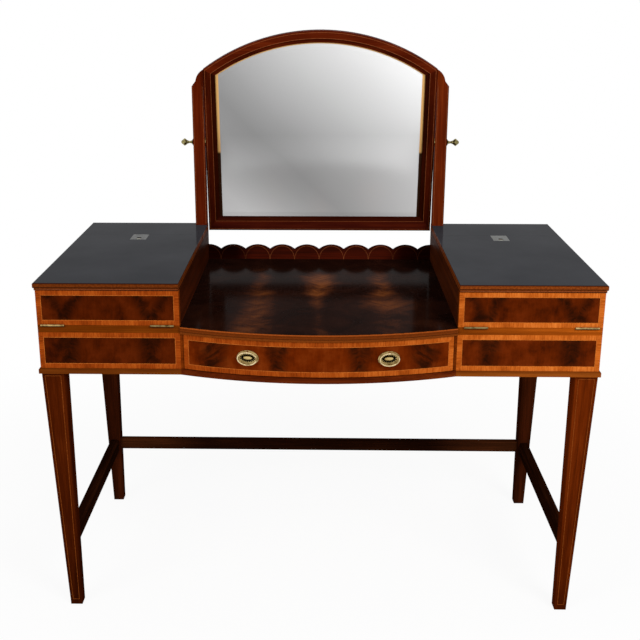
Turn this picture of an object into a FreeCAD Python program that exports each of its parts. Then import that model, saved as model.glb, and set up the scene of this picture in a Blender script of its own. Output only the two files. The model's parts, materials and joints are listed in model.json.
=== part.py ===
import FreeCAD, Part
import os
from math import asin, cos, degrees, radians, sin, sqrt
from FreeCAD import Vector

# Dressing table: two flap-topped boxes on tapered legs, a bow-fronted drawer between them under a sunk
# well, and an arched mirror that tilts between two uprights. Millimetres, +Z up, +X to the sitter's right,
# -Y towards the sitter. Modelled with Y = 0 at the front of the box tops, then centred for export.

# Overall sizes
TABLE_WIDTH = 1220.0        # over both box tops
TABLE_DEPTH = 604.0         # front to back over the box tops
WELL_WIDTH = 596.0          # clear width between the two boxes
BOW = 51.0                  # how far the middle of the bowed front stands out

# Heights, stacked from the floor
LEG_HEIGHT = 596.0          # floor to the underside of the base boards
BASE_THICK = 12.0           # base board and drawer rail
APRON_HEIGHT = 82.0         # lower front panel
RAIL_HEIGHT = 16.5          # front rail up to the hinge line
FALL_HEIGHT = 78.0          # upper front panel, hinge line to the underside of the top
TOP_THICK = 17.0            # box top
TOP_BOARD = 12.0            # the full-size upper step of the box top's moulded edge
TOP_STEP = 2.5              # how far the lower step of that edge is set in
WELL_DROP = 1.5             # well surface below the hinge line
WELL_THICK = 16.0

# Box joinery
TOP_OVERHANG = 4.0          # tops and base boards beyond the panels
FRONT_THICK = 18.0          # apron, front rail and fall front
PANEL_THICK = 14.0          # outer sides and partitions
BACK_THICK = 8.0
BACK_INSET = 2.0
SEAM_FROM_BACK = 139.0      # depth of the fixed rear top
SEAM_GAP = 0.6
SEAM_PANEL_THICK = 12.0
SEAM_PANEL_DROP = 6.5       # seam panel below the tops, so that the bolt passes over it
COVER_GAP = 0.5             # cover's inner edge to the partition's plane
SEAT_GAP = 0.3              # cover to what it closes on
EDGE_ROUND = 3.0            # moulded edges

# Legs and stretchers
LEG_TOP = 48.0
LEG_FOOT = 27.0
LEG_OUT_TAPER = 20.0        # how far an outer leg face leans in over its height
LEG_SETBACK = 4.0           # leg face behind the panel face, front and back
STRETCHER_TOP = 188.0
SIDE_STRETCHER_THICK = 22.0
SIDE_STRETCHER_HEIGHT = 37.0
REAR_STRETCHER_THICK = 20.0
REAR_STRETCHER_HEIGHT = 30.0
STRETCHER_ROUND = 4.0

# Bowed drawer
FACE_SETBACK = 4.0          # drawer face behind the mouldings above and below
DRAWER_FRONT_THICK = 22.0
DRAWER_JOINT = 1.5          # shadow gap above and below the drawer front
DRAWER_END_GAP = 1.0        # drawer to its side guides
GUIDE_THICK = 6.5
DRAWER_SIDE_THICK = 10.0
DRAWER_SIDE_HEIGHT = 69.0
DRAWER_REAR_ROOM = 34.0     # drawer's rear end to the back rail
DRAWER_BOTTOM_THICK = 6.0
DRAWER_BOTTOM_RISE = 6.0    # drawer bottom above the lower edge of the sides
DRAWER_GROOVE = 4.0
DRAWER_BACK_DROP = 6.0      # drawer back below the top of the sides
RUNNER_WIDTH = 30.0
RUNNER_THICK = 12.0
RUNNER_RISE = 4.0           # runner top above the drawer rail
DRAWER_RAIL_DEPTH = 40.0    # drawer rail behind the front of the tops
BACK_RAIL_THICK = 12.0
KICKER_WIDTH = 22.0
KICKER_GAP = 0.5
STOP_LENGTH = 12.0
STOP_HEIGHT = 14.0
SLIDE_GAP = 0.3

# Gallery
GALLERY_HEIGHT = 39.0
GALLERY_THICK = 8.0
GALLERY_INSET = 1.0
LOBES_ACROSS = 9            # pitches from end to end, with half a lobe at each end
LOBE_DIP = 11.9             # depth of the dips between lobes

# Hinges of the covers
HINGE_LENGTH = 51.0
HINGE_RADIUS = 2.75
HINGE_PROUD = 3.0           # hinge axis in front of the panel face
HINGE_LEAF_THICK = 1.5
HINGE_LEAF_WIDTH = 14.0
HINGE_LEAF_GAP = 0.1        # leaf to the hinge line
HINGE_PIN_RADIUS = 1.2
HINGE_FIT = 0.05
HINGE_KNUCKLES = 3
KNUCKLE_GAP = 0.3
HINGE_FROM_OUTER = 8.0
HINGE_FROM_INNER = 12.0
HINGE_JOINT = 0.3           # each panel edge to the hinge line

# Flush bolts of the covers
PLATE_WIDTH = 40.0
PLATE_LENGTH = 57.0
PLATE_THICK = 2.0
BOLT_WIDTH = 10.0
BOLT_THICK = 5.0
BOLT_TRAVEL = 9.0
BOLT_BACK_LENGTH = 9.0      # bolt in front of its thumb piece
BOLT_GAP = 0.4
THUMB_LENGTH = 9.0
THUMB_DROP = 0.5            # thumb piece below the plate's face
SLOT_FROM_FRONT = 5.0
STAPLE_LENGTH = 8.0         # staples that hold the bolt under the cover
STAPLE_WALL = 2.0
STAPLE_CLEAR = 2.0          # staples clear of the seam panel and of the bolt's end

# Uprights and mirror
UPRIGHT_WIDTH = 30.0
UPRIGHT_DEPTH = 26.0
UPRIGHT_HEIGHT = 362.0      # box top to the outer shoulder
SHOULDER_CUT = 10.0         # shoulder, in from the outer face
SHOULDER_RISE = 13.0
CREST_RISE = 29.0           # shoulder to the tip
HEAD_SWELL = 0.12           # bulge of the head's curve, share of its chord
TENON_WIDTH = 12.0
TENON_DEPTH = 12.0
TENON_LENGTH = 50.0
BLOCK_SIZE = 28.0
PIVOT_HEIGHT = 218.5        # pivot above the box top
MIRROR_TILT = 6.5           # rest tilt of the mirror, top forward, degrees
FRAME_GAP = 1.6             # mirror frame to each upright
FRAME_WIDTH = 30.0          # stiles and arch
FRAME_BOTTOM_WIDTH = 37.0
FRAME_BELOW_PIVOT = 239.5
FRAME_ARCH_RADIUS = 507.0
FRAME_ABOVE_PIVOT = 284.5
FRAME_THICK = 20.0
FRAME_EDGE = 1.5            # chamfer along the frame's outer edge
MOULD_WIDTH = 11.0
MOULD_QUIRK = 1.5
SIGHT_DROP = 7.0            # sight edge below the frame's face
HOLLOW = 0.12               # depth of the moulding's hollow, share of its width and drop
SIGHT_THICK = 3.0
REBATE_WIDTH = 8.0
MITRE_SPARE = 4.0           # arch swept this far past its mitres before they are cut, degrees
GLASS_FIT = 1.0             # glass edge to the rebate
GLASS_THICK = 4.0
BEVEL_WIDTH = 18.0
BEVEL_DROP = 2.0
GLASS_BED = 0.2
BACKBOARD_THICK = 5.0

# Mirror knobs
SPINDLE_RADIUS = 4.0
SPINDLE_FIT = 0.05
SPINDLE_DEPTH = 16.0        # spindle inside the stile
KNOB_RADIUS = 10.0
KNOB_REACH = 24.0           # ball centre outside the upright
KNOB_NECK_RADIUS = 4.5
COLLAR_RADIUS = 9.0
COLLAR_THICK = 3.0
WASHER_RADIUS = 11.0
WASHER_FIT = 0.3

# Small round details are many-sided bars, to keep the facets few
ROUND_SIDES = 12
RING_SIDES = 8
RING_STEPS = 9              # straight steps in each of the ring's four arcs
KNOB_SIDES = 16
BALL_STEPS = 6              # straight steps in the knob's profile

# Drawer pulls
PULL_SPREAD = 300.0         # between the two pulls
PULL_WIDTH = 48.0
PULL_HEIGHT = 34.0
PULL_PLATE_THICK = 1.5
PULL_RIM = 3.0
PULL_RIM_RISE = 1.0
BOSS_RADIUS = 4.0
BOSS_RISE = 1.6
RING_BAR = 1.75             # radius of the ring's bar
RING_WIDTH = 45.0
RING_HEIGHT = 31.0
RING_END_RADIUS = 9.0
RING_STANDOFF = 6.0         # bar centre in front of the plate
LUG_WIDTH = 5.0
LUG_WALL = 1.6
LUG_FIT = 0.35

X_AXIS = Vector(1, 0, 0)
Y_AXIS = Vector(0, 1, 0)
Z_AXIS = Vector(0, 0, 1)
ORIGIN = Vector(0, 0, 0)

# Levels and planes that several pieces share
half_width = TABLE_WIDTH / 2
x_outer = half_width - TOP_OVERHANG
x_well = WELL_WIDTH / 2
x_side = x_outer - PANEL_THICK
x_partition = x_well + PANEL_THICK
y_face = TOP_OVERHANG
y_inside = y_face + FRONT_THICK
y_seam = TABLE_DEPTH - SEAM_FROM_BACK
y_back = TABLE_DEPTH - BACK_INSET - BACK_THICK
z_floor = LEG_HEIGHT + BASE_THICK
z_rail = z_floor + APRON_HEIGHT
z_hinge = z_rail + RAIL_HEIGHT
z_under = z_hinge + FALL_HEIGHT
z_top = z_under + TOP_THICK
z_well = z_hinge - WELL_DROP
z_well_under = z_well - WELL_THICK
y_hinge = y_face - HINGE_PROUD

# Bowed front: every curve shares one centre behind the table
bow_radius = (x_well ** 2 + BOW ** 2) / (2 * BOW)
bow_centre = bow_radius - BOW
face_radius = bow_radius - FACE_SETBACK
drawer_inner_radius = face_radius - DRAWER_FRONT_THICK

# Mirror pivot
x_upright_inner = x_well + COVER_GAP
x_upright_outer = x_upright_inner + UPRIGHT_WIDTH
y_pivot = TABLE_DEPTH - UPRIGHT_DEPTH / 2
z_pivot = z_top + PIVOT_HEIGHT
frame_half = x_upright_inner - FRAME_GAP
arch_centre = FRAME_ABOVE_PIVOT - FRAME_ARCH_RADIUS
frame_rear = FRAME_THICK / 2


def block(x0, x1, y0, y1, z0, z1):
    return Part.makeBox(x1 - x0, y1 - y0, z1 - z0, Vector(x0, y0, z0))


def cylinder(radius, length, base, axis):
    return Part.makeCylinder(radius, length, base, axis)


def mirrored(shape):
    return shape.mirror(ORIGIN, X_AXIS)


def prism(points, height, direction):
    """Solid between a closed straight-sided outline and its copy moved along direction."""
    wire = Part.makePolygon(points + [points[0]])
    return Part.Face(wire).extrude(direction * height)


def many_sided(radius, sides, base, axis, across):
    """Corners of a regular outline round an axis, the first one in the across direction."""
    up = axis.cross(across)
    turns = [radians(360 * index / sides) for index in range(sides)]
    return [base + across * (radius * cos(turn)) + up * (radius * sin(turn)) for turn in turns]


def stacked(outlines, looped=False):
    """Flat-sided solid through a row of outlines with matching corners, with flat ends or closed on itself."""
    faces = [] if looped else [outlines[0], outlines[-1]]
    following = outlines[1:] + outlines[:1] if looped else outlines[1:]
    for low, high in zip(outlines, following):
        faces += [[low[i - 1], low[i], high[i], high[i - 1]] for i in range(len(low))]
    shell = Part.Shell([Part.Face(Part.makePolygon(outline + [outline[0]])) for outline in faces])
    solid = Part.Solid(shell)
    if solid.Volume < 0:
        solid.reverse()
    return solid


def bar(radius, length, base, axis):
    """Many-sided bar whose corners lie on the radius."""
    return prism(many_sided(radius, ROUND_SIDES, base, axis, Z_AXIS), length, axis)


def bar_bore(radius, length, base, axis):
    """Many-sided hole whose flats lie on the radius."""
    return bar(radius / cos(radians(180 / ROUND_SIDES)), length, base, axis)


def arc_edge(first, middle, last):
    return Part.Arc(first, middle, last).toShape()


def line_edge(first, last):
    return Part.LineSegment(first, last).toShape()


def rounded(shape, radius, chosen):
    """Fillets the edges whose middle point is picked by chosen."""
    edges = []
    for edge in shape.Edges:
        middle = edge.valueAt((edge.FirstParameter + edge.LastParameter) / 2)
        if chosen(edge, middle):
            edges.append(edge)
    return shape.makeFillet(radius, edges)


def near(value, target):
    return abs(value - target) < 0.01


def flat_edge(edge):
    return edge.BoundBox.ZLength < 0.01


# Legs: a square shaft that tapers towards the foot, with a post that stands in the box's corner
def leg(y_low, y_taper_front, post_front, post_rear):
    y_high = y_low + LEG_TOP
    x_low = x_outer - LEG_TOP
    inner_taper = LEG_TOP - LEG_FOOT - LEG_OUT_TAPER
    foot_x0 = x_low + inner_taper
    foot_y0 = y_low + y_taper_front
    top = [(x_low, y_low), (x_outer, y_low), (x_outer, y_high), (x_low, y_high)]
    foot = [(foot_x0, foot_y0), (foot_x0 + LEG_FOOT, foot_y0),
            (foot_x0 + LEG_FOOT, foot_y0 + LEG_FOOT), (foot_x0, foot_y0 + LEG_FOOT)]
    low = [Vector(x, y, 0) for x, y in foot]
    high = [Vector(x, y, LEG_HEIGHT) for x, y in top]
    shaft = stacked([low, high])
    post = block(x_low, x_side, post_front, post_rear, LEG_HEIGHT, z_rail)
    return shaft.fuse(post).removeSplitter()


y_front_leg = y_face + LEG_SETBACK
y_rear_leg = TABLE_DEPTH - LEG_SETBACK - LEG_TOP
inner_leg_taper = LEG_TOP - LEG_FOOT - LEG_OUT_TAPER
front_leg = leg(y_front_leg, LEG_OUT_TAPER, y_inside, y_front_leg + LEG_TOP)
rear_leg = leg(y_rear_leg, inner_leg_taper, y_rear_leg, y_back)


# Stretchers: bars centred on the legs where they meet, trimmed to the leaning leg faces
def leg_middle(low, low_taper, high_taper, height):
    fallen = 1 - height / LEG_HEIGHT
    return low + (LEG_TOP + (low_taper - high_taper) * fallen) / 2


side_bar_z = STRETCHER_TOP - SIDE_STRETCHER_HEIGHT
rear_bar_z = STRETCHER_TOP - REAR_STRETCHER_HEIGHT
x_leg_middle = leg_middle(x_outer - LEG_TOP, inner_leg_taper, LEG_OUT_TAPER, STRETCHER_TOP)
y_front_middle = leg_middle(y_front_leg, LEG_OUT_TAPER, inner_leg_taper, STRETCHER_TOP)
y_rear_middle = leg_middle(y_rear_leg, inner_leg_taper, LEG_OUT_TAPER, STRETCHER_TOP)


def top_edge_along(axis_name):
    def chosen(edge, middle):
        box = edge.BoundBox
        length = box.YLength if axis_name == "y" else box.XLength
        return near(middle.z, STRETCHER_TOP) and length > LEG_TOP
    return chosen


side_bar = block(x_leg_middle - SIDE_STRETCHER_THICK / 2, x_leg_middle + SIDE_STRETCHER_THICK / 2,
                 y_front_middle, y_rear_middle, side_bar_z, STRETCHER_TOP)
side_bar = rounded(side_bar, STRETCHER_ROUND, top_edge_along("y"))
side_stretcher = side_bar.cut(front_leg).cut(rear_leg)

rear_bar = block(-x_leg_middle, x_leg_middle, y_rear_middle - REAR_STRETCHER_THICK / 2,
                 y_rear_middle + REAR_STRETCHER_THICK / 2, rear_bar_z, STRETCHER_TOP)
rear_bar = rounded(rear_bar, STRETCHER_ROUND, top_edge_along("x"))
rear_stretcher = rear_bar.cut(rear_leg).cut(mirrored(rear_leg))


# Boxes. The right-hand box is modelled and the left-hand one is its mirror image.
def moulded_rim(edge, middle):
    rim = near(middle.y, 0) or near(middle.x, half_width)
    return flat_edge(edge) and rim and near(middle.z, z_floor)


base_board = block(x_well, half_width, 0, TABLE_DEPTH, LEG_HEIGHT, z_floor)
base_board = rounded(base_board, EDGE_ROUND, moulded_rim)
base_board = base_board.cut(front_leg).cut(rear_leg)

apron = block(x_well, x_outer, y_face, y_inside, z_floor, z_rail)
front_rail = block(x_well, x_outer, y_face, y_inside, z_rail, z_hinge - HINGE_JOINT)
outer_side = block(x_side, x_outer, y_inside, TABLE_DEPTH, z_floor, z_under)
partition = block(x_well, x_partition, y_inside, TABLE_DEPTH, z_floor, z_under)
box_back = block(x_partition, x_side, y_back, y_back + BACK_THICK, z_floor, z_under)
y_seam_panel = y_seam - SEAM_PANEL_THICK / 2
seam_panel = block(x_partition, x_side, y_seam_panel, y_seam_panel + SEAM_PANEL_THICK,
                   z_floor, z_under - SEAM_PANEL_DROP)


def box_top(x_low, y_low, y_high, z_low, front_step):
    """Box top with a two-step moulded edge on its outer side and, on the cover, its front."""
    step_y = y_low + front_step
    upper = block(x_low, half_width, y_low, y_high, z_top - TOP_BOARD, z_top)
    outer_edge = half_width

    def rim(edge, middle):
        front = front_step > 0 and near(middle.y, y_low)
        return flat_edge(edge) and (front or near(middle.x, outer_edge))

    upper = rounded(upper, EDGE_ROUND, rim)
    lower = block(x_low, half_width - TOP_STEP, step_y, y_high, z_low, z_top - TOP_BOARD)
    return upper.fuse(lower).removeSplitter()


y_cover_back = y_seam - SEAM_GAP / 2
x_cover = x_well + COVER_GAP
z_cover = z_under + SEAT_GAP
lid = box_top(x_cover, 0.0, y_cover_back, z_cover, TOP_STEP)
rear_top = box_top(x_well, y_seam + SEAM_GAP / 2, TABLE_DEPTH, z_under, 0.0)
fall_front = block(x_cover, x_outer, y_face, y_inside - SEAT_GAP, z_hinge + HINGE_JOINT, z_cover)


# Butt hinges: leaves let into the rail and the fall front, knuckles on one pin
knuckle_pitch = HINGE_LENGTH / HINGE_KNUCKLES


def knuckles(x_low, first):
    """The hinge barrel's knuckles that belong to one leaf, every second one from first."""
    barrels = []
    for index in range(first, HINGE_KNUCKLES, 2):
        base = Vector(x_low + index * knuckle_pitch + KNUCKLE_GAP / 2, y_hinge, z_hinge)
        barrels.append(bar(HINGE_RADIUS, knuckle_pitch - KNUCKLE_GAP, base, X_AXIS))
    return barrels


def hinge_leaf(x_low, first, z_low):
    plate = block(x_low, x_low + HINGE_LENGTH, y_hinge, y_face + HINGE_LEAF_WIDTH,
                  z_low, z_low + HINGE_LEAF_THICK)
    for index in range(1 - first, HINGE_KNUCKLES, 2):
        base = Vector(x_low + index * knuckle_pitch - KNUCKLE_GAP / 2, y_hinge, z_hinge)
        plate = plate.cut(bar_bore(HINGE_RADIUS + KNUCKLE_GAP, knuckle_pitch + KNUCKLE_GAP, base, X_AXIS))
    return plate.multiFuse(knuckles(x_low, first))


hinge_starts = (x_cover + HINGE_FROM_INNER, x_outer - HINGE_FROM_OUTER - HINGE_LENGTH)
fixed_leaves = []
moving_leaves = []
for start in hinge_starts:
    fixed_z = z_hinge - HINGE_LEAF_GAP - HINGE_LEAF_THICK
    moving_z = z_hinge + HINGE_LEAF_GAP
    pin_start = Vector(start + knuckle_pitch / 2, y_hinge, z_hinge)
    pin = cylinder(HINGE_PIN_RADIUS, HINGE_LENGTH - knuckle_pitch, pin_start, X_AXIS)
    pin_bore = bar_bore(HINGE_PIN_RADIUS + HINGE_FIT, HINGE_LENGTH - knuckle_pitch, pin_start, X_AXIS)
    fixed_leaves.append(hinge_leaf(start, 0, fixed_z).fuse(pin).removeSplitter())
    moving_leaves.append(hinge_leaf(start, 1, moving_z).cut(pin_bore).removeSplitter())
    leaf_end = start + HINGE_LENGTH
    leaf_back = y_face + HINGE_LEAF_WIDTH
    front_rail = front_rail.cut(block(start, leaf_end, y_face, leaf_back, fixed_z, z_hinge))
    fall_front = fall_front.cut(block(start, leaf_end, y_face, leaf_back, z_hinge, moving_z + HINGE_LEAF_THICK))

# Flush bolt at the cover's free edge: face plate, and under the cover a bolt with a thumb piece, held by
# two staples, that shoots beneath the rear top
x_bolt = (x_cover + half_width) / 2
y_plate = y_cover_back - PLATE_LENGTH
z_plate = z_top - PLATE_THICK
z_bolt_top = z_under - BOLT_GAP
z_bolt = z_bolt_top - BOLT_THICK
y_slot = y_plate + SLOT_FROM_FRONT
y_thumb = y_slot + BOLT_GAP
slot_length = THUMB_LENGTH + BOLT_TRAVEL + 2 * BOLT_GAP
bolt_half = BOLT_WIDTH / 2
channel_half = bolt_half + BOLT_GAP

plate_seat = block(x_bolt - PLATE_WIDTH / 2, x_bolt + PLATE_WIDTH / 2, y_plate, y_cover_back, z_plate, z_top)
slot = block(x_bolt - channel_half, x_bolt + channel_half, y_slot, y_slot + slot_length, z_cover, z_top)
lid = lid.cut(plate_seat).cut(slot)
bolt_front = y_thumb - BOLT_BACK_LENGTH
bolt = block(x_bolt - bolt_half, x_bolt + bolt_half, bolt_front, y_cover_back - BOLT_GAP, z_bolt, z_bolt_top)
thumb = block(x_bolt - bolt_half, x_bolt + bolt_half, y_thumb, y_thumb + THUMB_LENGTH,
              z_bolt_top, z_top - THUMB_DROP)
bolt = bolt.fuse(thumb).removeSplitter()

staple_half = channel_half + STAPLE_WALL
z_staple_hole = z_bolt - BOLT_GAP
bolt_fittings = [plate_seat.cut(slot)]
for y_staple in (bolt_front + BOLT_TRAVEL + STAPLE_CLEAR, y_seam_panel - STAPLE_CLEAR - STAPLE_LENGTH):
    staple = block(x_bolt - staple_half, x_bolt + staple_half, y_staple, y_staple + STAPLE_LENGTH,
                   z_staple_hole - STAPLE_WALL, z_cover)
    hole = block(x_bolt - channel_half, x_bolt + channel_half, y_staple, y_staple + STAPLE_LENGTH,
                 z_staple_hole, z_cover)
    bolt_fittings.append(staple.cut(hole))

# Uprights: posts with a shaped head, tenoned through the rear top into a block
z_shoulder = z_top + UPRIGHT_HEIGHT
x_shoulder = x_upright_outer - SHOULDER_CUT
z_crest = z_shoulder + CREST_RISE + SHOULDER_RISE
head_foot = Vector(x_shoulder, TABLE_DEPTH, z_shoulder + SHOULDER_RISE)
head_tip = Vector(x_upright_inner, TABLE_DEPTH, z_crest)
chord = head_tip - head_foot
head_swell = chord.cross(Y_AXIS).normalize() * (chord.Length * HEAD_SWELL)
head_middle = head_foot + chord * 0.5 - head_swell
upright_corners = [Vector(x_upright_inner, TABLE_DEPTH, z_top), Vector(x_upright_outer, TABLE_DEPTH, z_top),
                   Vector(x_upright_outer, TABLE_DEPTH, z_shoulder), head_foot]
upright_edges = [line_edge(a, b) for a, b in zip(upright_corners, upright_corners[1:])]
upright_edges.append(arc_edge(head_foot, head_middle, head_tip))
upright_edges.append(line_edge(head_tip, upright_corners[0]))
upright = Part.Face(Part.Wire(upright_edges)).extrude(Vector(0, -UPRIGHT_DEPTH, 0))
spindle_bore = cylinder(SPINDLE_RADIUS + SPINDLE_FIT, half_width, Vector(0, y_pivot, z_pivot), X_AXIS)
upright = upright.cut(spindle_bore)
x_block = x_partition + BLOCK_SIZE
x_tenon = x_partition + (x_upright_outer - x_partition - TENON_WIDTH) / 2
y_tenon = (TABLE_DEPTH - UPRIGHT_DEPTH + y_back - TENON_DEPTH) / 2
tenon = block(x_tenon, x_tenon + TENON_WIDTH, y_tenon, y_tenon + TENON_DEPTH, z_top - TENON_LENGTH, z_top)
upright = upright.fuse(tenon).removeSplitter()
rear_top = rear_top.cut(tenon)
upright_block = block(x_partition, x_block, y_back - BLOCK_SIZE, y_back, z_top - TENON_LENGTH - TOP_THICK, z_under)
upright_block = upright_block.cut(tenon)


# Centre: well top, drawer rail and drawer share the bowed plan
def bowed_board(radius, half_length, y_rear, z_low, z_high):
    reach = bow_centre - sqrt(radius ** 2 - half_length ** 2)
    left = Vector(-half_length, reach, z_low)
    right = Vector(half_length, reach, z_low)
    rear_right = Vector(half_length, y_rear, z_low)
    rear_left = Vector(-half_length, y_rear, z_low)
    edges = [arc_edge(left, Vector(0, bow_centre - radius, z_low), right), line_edge(right, rear_right),
             line_edge(rear_right, rear_left), line_edge(rear_left, left)]
    return Part.Face(Part.Wire(edges)).extrude(Z_AXIS * (z_high - z_low))


def bowed_edge(height):
    def chosen(edge, middle):
        return flat_edge(edge) and middle.y < 0 and near(middle.z, height)
    return chosen


well_top = bowed_board(bow_radius, x_well, TABLE_DEPTH, z_well_under, z_well)
well_top = rounded(well_top, EDGE_ROUND, bowed_edge(z_well))
drawer_rail = bowed_board(bow_radius, x_well, DRAWER_RAIL_DEPTH, LEG_HEIGHT, z_floor)
drawer_rail = rounded(drawer_rail, EDGE_ROUND, bowed_edge(z_floor))
y_back_rail = TABLE_DEPTH - BACK_INSET - BACK_RAIL_THICK
back_rail = block(-x_well, x_well, y_back_rail, y_back_rail + BACK_RAIL_THICK, LEG_HEIGHT, z_well_under)

# Gallery: a low board whose top edge is a row of round lobes
lobe_pitch = WELL_WIDTH / LOBES_ACROSS
y_gallery = TABLE_DEPTH - GALLERY_INSET
z_lobe = z_well + GALLERY_HEIGHT
z_dip = z_lobe - LOBE_DIP
gallery_edges = []
for index in range(LOBES_ACROSS):
    x_start = -x_well + index * lobe_pitch
    lobe_radius = ((lobe_pitch / 2) ** 2 + LOBE_DIP ** 2) / (2 * LOBE_DIP)
    quarter = lobe_pitch / 4
    z_quarter = z_lobe - lobe_radius + sqrt(lobe_radius ** 2 - quarter ** 2)
    crest = Vector(x_start, y_gallery, z_lobe)
    dip = Vector(x_start + lobe_pitch / 2, y_gallery, z_dip)
    next_crest = Vector(x_start + lobe_pitch, y_gallery, z_lobe)
    gallery_edges.append(arc_edge(crest, Vector(x_start + quarter, y_gallery, z_quarter), dip))
    gallery_edges.append(arc_edge(dip, Vector(x_start + 3 * quarter, y_gallery, z_quarter), next_crest))
gallery_foot = [Vector(x_well, y_gallery, z_lobe), Vector(x_well, y_gallery, z_well),
                Vector(-x_well, y_gallery, z_well), Vector(-x_well, y_gallery, z_lobe)]
gallery_edges += [line_edge(a, b) for a, b in zip(gallery_foot, gallery_foot[1:])]
gallery = Part.Face(Part.Wire(gallery_edges)).extrude(Vector(0, -GALLERY_THICK, 0))

# Drawer and what carries it
x_guide = x_well - GUIDE_THICK
x_drawer = x_guide - DRAWER_END_GAP
y_drawer_end = y_back_rail - DRAWER_REAR_ROOM
z_runner = z_floor + RUNNER_RISE
z_side = z_runner + SLIDE_GAP
z_side_top = z_side + DRAWER_SIDE_HEIGHT
y_face_end = bow_centre - sqrt(face_radius ** 2 - x_well ** 2)
drawer_guide = block(x_guide, x_well, y_face_end, y_back_rail, z_floor, z_well_under)
drawer_runner = block(x_guide - RUNNER_WIDTH, x_guide, DRAWER_RAIL_DEPTH, y_back_rail,
                      z_runner - RUNNER_THICK, z_runner)
kicker = block(x_guide - KICKER_WIDTH, x_guide, DRAWER_RAIL_DEPTH, y_back_rail,
               z_side_top + KICKER_GAP, z_well_under)
y_stop = y_drawer_end + SLIDE_GAP
drawer_stop = block(x_guide - RUNNER_WIDTH, x_guide, y_stop, y_stop + STOP_LENGTH, z_runner, z_runner + STOP_HEIGHT)

z_front_low = z_floor + DRAWER_JOINT
z_front_high = z_well_under - DRAWER_JOINT


def bow_cylinder(radius):
    return cylinder(radius, z_well, Vector(0, bow_centre, 0), Z_AXIS)


drawer_front = bowed_board(face_radius, x_drawer, y_inside + DRAWER_FRONT_THICK, z_front_low, z_front_high)
drawer_front = drawer_front.cut(bow_cylinder(drawer_inner_radius))
drawer_side = block(x_drawer - DRAWER_SIDE_THICK, x_drawer, 0, y_drawer_end, z_side, z_side_top)
drawer_side = drawer_side.common(bow_cylinder(drawer_inner_radius))
x_drawer_inside = x_drawer - DRAWER_SIDE_THICK
z_bottom = z_side + DRAWER_BOTTOM_RISE
x_bottom = x_drawer_inside + DRAWER_GROOVE
drawer_bottom = block(-x_bottom, x_bottom, -BOW, y_drawer_end - DRAWER_GROOVE,
                      z_bottom, z_bottom + DRAWER_BOTTOM_THICK)
drawer_bottom = drawer_bottom.common(bow_cylinder(drawer_inner_radius + DRAWER_GROOVE))
drawer_front = drawer_front.cut(drawer_bottom)
drawer_side = drawer_side.cut(drawer_bottom)
y_drawer_back = y_drawer_end - DRAWER_GROOVE - DRAWER_SIDE_THICK
drawer_back = block(-x_drawer_inside, x_drawer_inside, y_drawer_back, y_drawer_back + DRAWER_SIDE_THICK,
                    z_bottom + DRAWER_BOTTOM_THICK, z_side_top - DRAWER_BACK_DROP)


# Drawer pulls: modelled flat at the origin facing -Y, then set on the bow
def oval_wire(half_x, half_z, end_radius, y):
    """Four tangent arcs: small ones at the ends and large ones above and below."""
    end_x = half_x - end_radius
    drop = (end_x ** 2 - (half_z - end_radius) ** 2) / (2 * (half_z - end_radius))
    large = half_z + drop
    join_x = end_x * large / (large - end_radius)
    join_z = -drop + drop * large / (large - end_radius)
    corner = [Vector(sx * join_x, y, sz * join_z) for sx, sz in ((-1, 1), (1, 1), (1, -1), (-1, -1))]
    return Part.Wire([arc_edge(corner[0], Vector(0, y, half_z), corner[1]),
                      arc_edge(corner[1], Vector(half_x, y, 0), corner[2]),
                      arc_edge(corner[2], Vector(0, y, -half_z), corner[3]),
                      arc_edge(corner[3], Vector(-half_x, y, 0), corner[0])])


def oval_plate(inset, y_low, height):
    end_radius = RING_END_RADIUS + RING_BAR - inset
    face = Part.Face(oval_wire(PULL_WIDTH / 2 - inset, PULL_HEIGHT / 2 - inset, end_radius, y_low))
    return face.extrude(Y_AXIS * height)


ring_half_x = RING_WIDTH / 2 - RING_BAR
ring_half_z = RING_HEIGHT / 2 - RING_BAR
ring_y = -PULL_PLATE_THICK - RING_STANDOFF
pull_plate_flat = oval_plate(0, -PULL_PLATE_THICK, PULL_PLATE_THICK)
rim = oval_plate(0, -PULL_PLATE_THICK - PULL_RIM_RISE, PULL_RIM_RISE)
rim = rim.cut(oval_plate(PULL_RIM, -PULL_PLATE_THICK - PULL_RIM_RISE, PULL_RIM_RISE))
boss = bar(BOSS_RADIUS, BOSS_RISE, Vector(0, -PULL_PLATE_THICK - BOSS_RISE, 0), Y_AXIS)
lug_radius = RING_BAR + LUG_FIT + LUG_WALL
lug_eye = bar(lug_radius, LUG_WIDTH, Vector(-LUG_WIDTH / 2, ring_y, ring_half_z), X_AXIS)
lug_stem = block(-LUG_WIDTH / 2, LUG_WIDTH / 2, ring_y, -PULL_PLATE_THICK,
                 ring_half_z - lug_radius, ring_half_z + lug_radius)
lug_hole = cylinder(RING_BAR + LUG_FIT, LUG_WIDTH, Vector(-LUG_WIDTH / 2, ring_y, ring_half_z), X_AXIS)
pull_plate = pull_plate_flat.multiFuse([rim, boss, lug_eye, lug_stem]).cut(lug_hole).removeSplitter()


def ring_arc(centre, start, turn):
    """Sections of the ring's bar along one arc, its section at start turned about the Y direction."""
    along = (start - centre).cross(Y_AXIS).normalize()
    corners = many_sided(RING_BAR, RING_SIDES, start, along, Y_AXIS)
    sections = []
    for step in range(RING_STEPS):
        swing = FreeCAD.Rotation(Y_AXIS, turn * step / RING_STEPS)
        sections.append([centre + swing.multVec(corner - centre) for corner in corners])
    return sections


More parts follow.
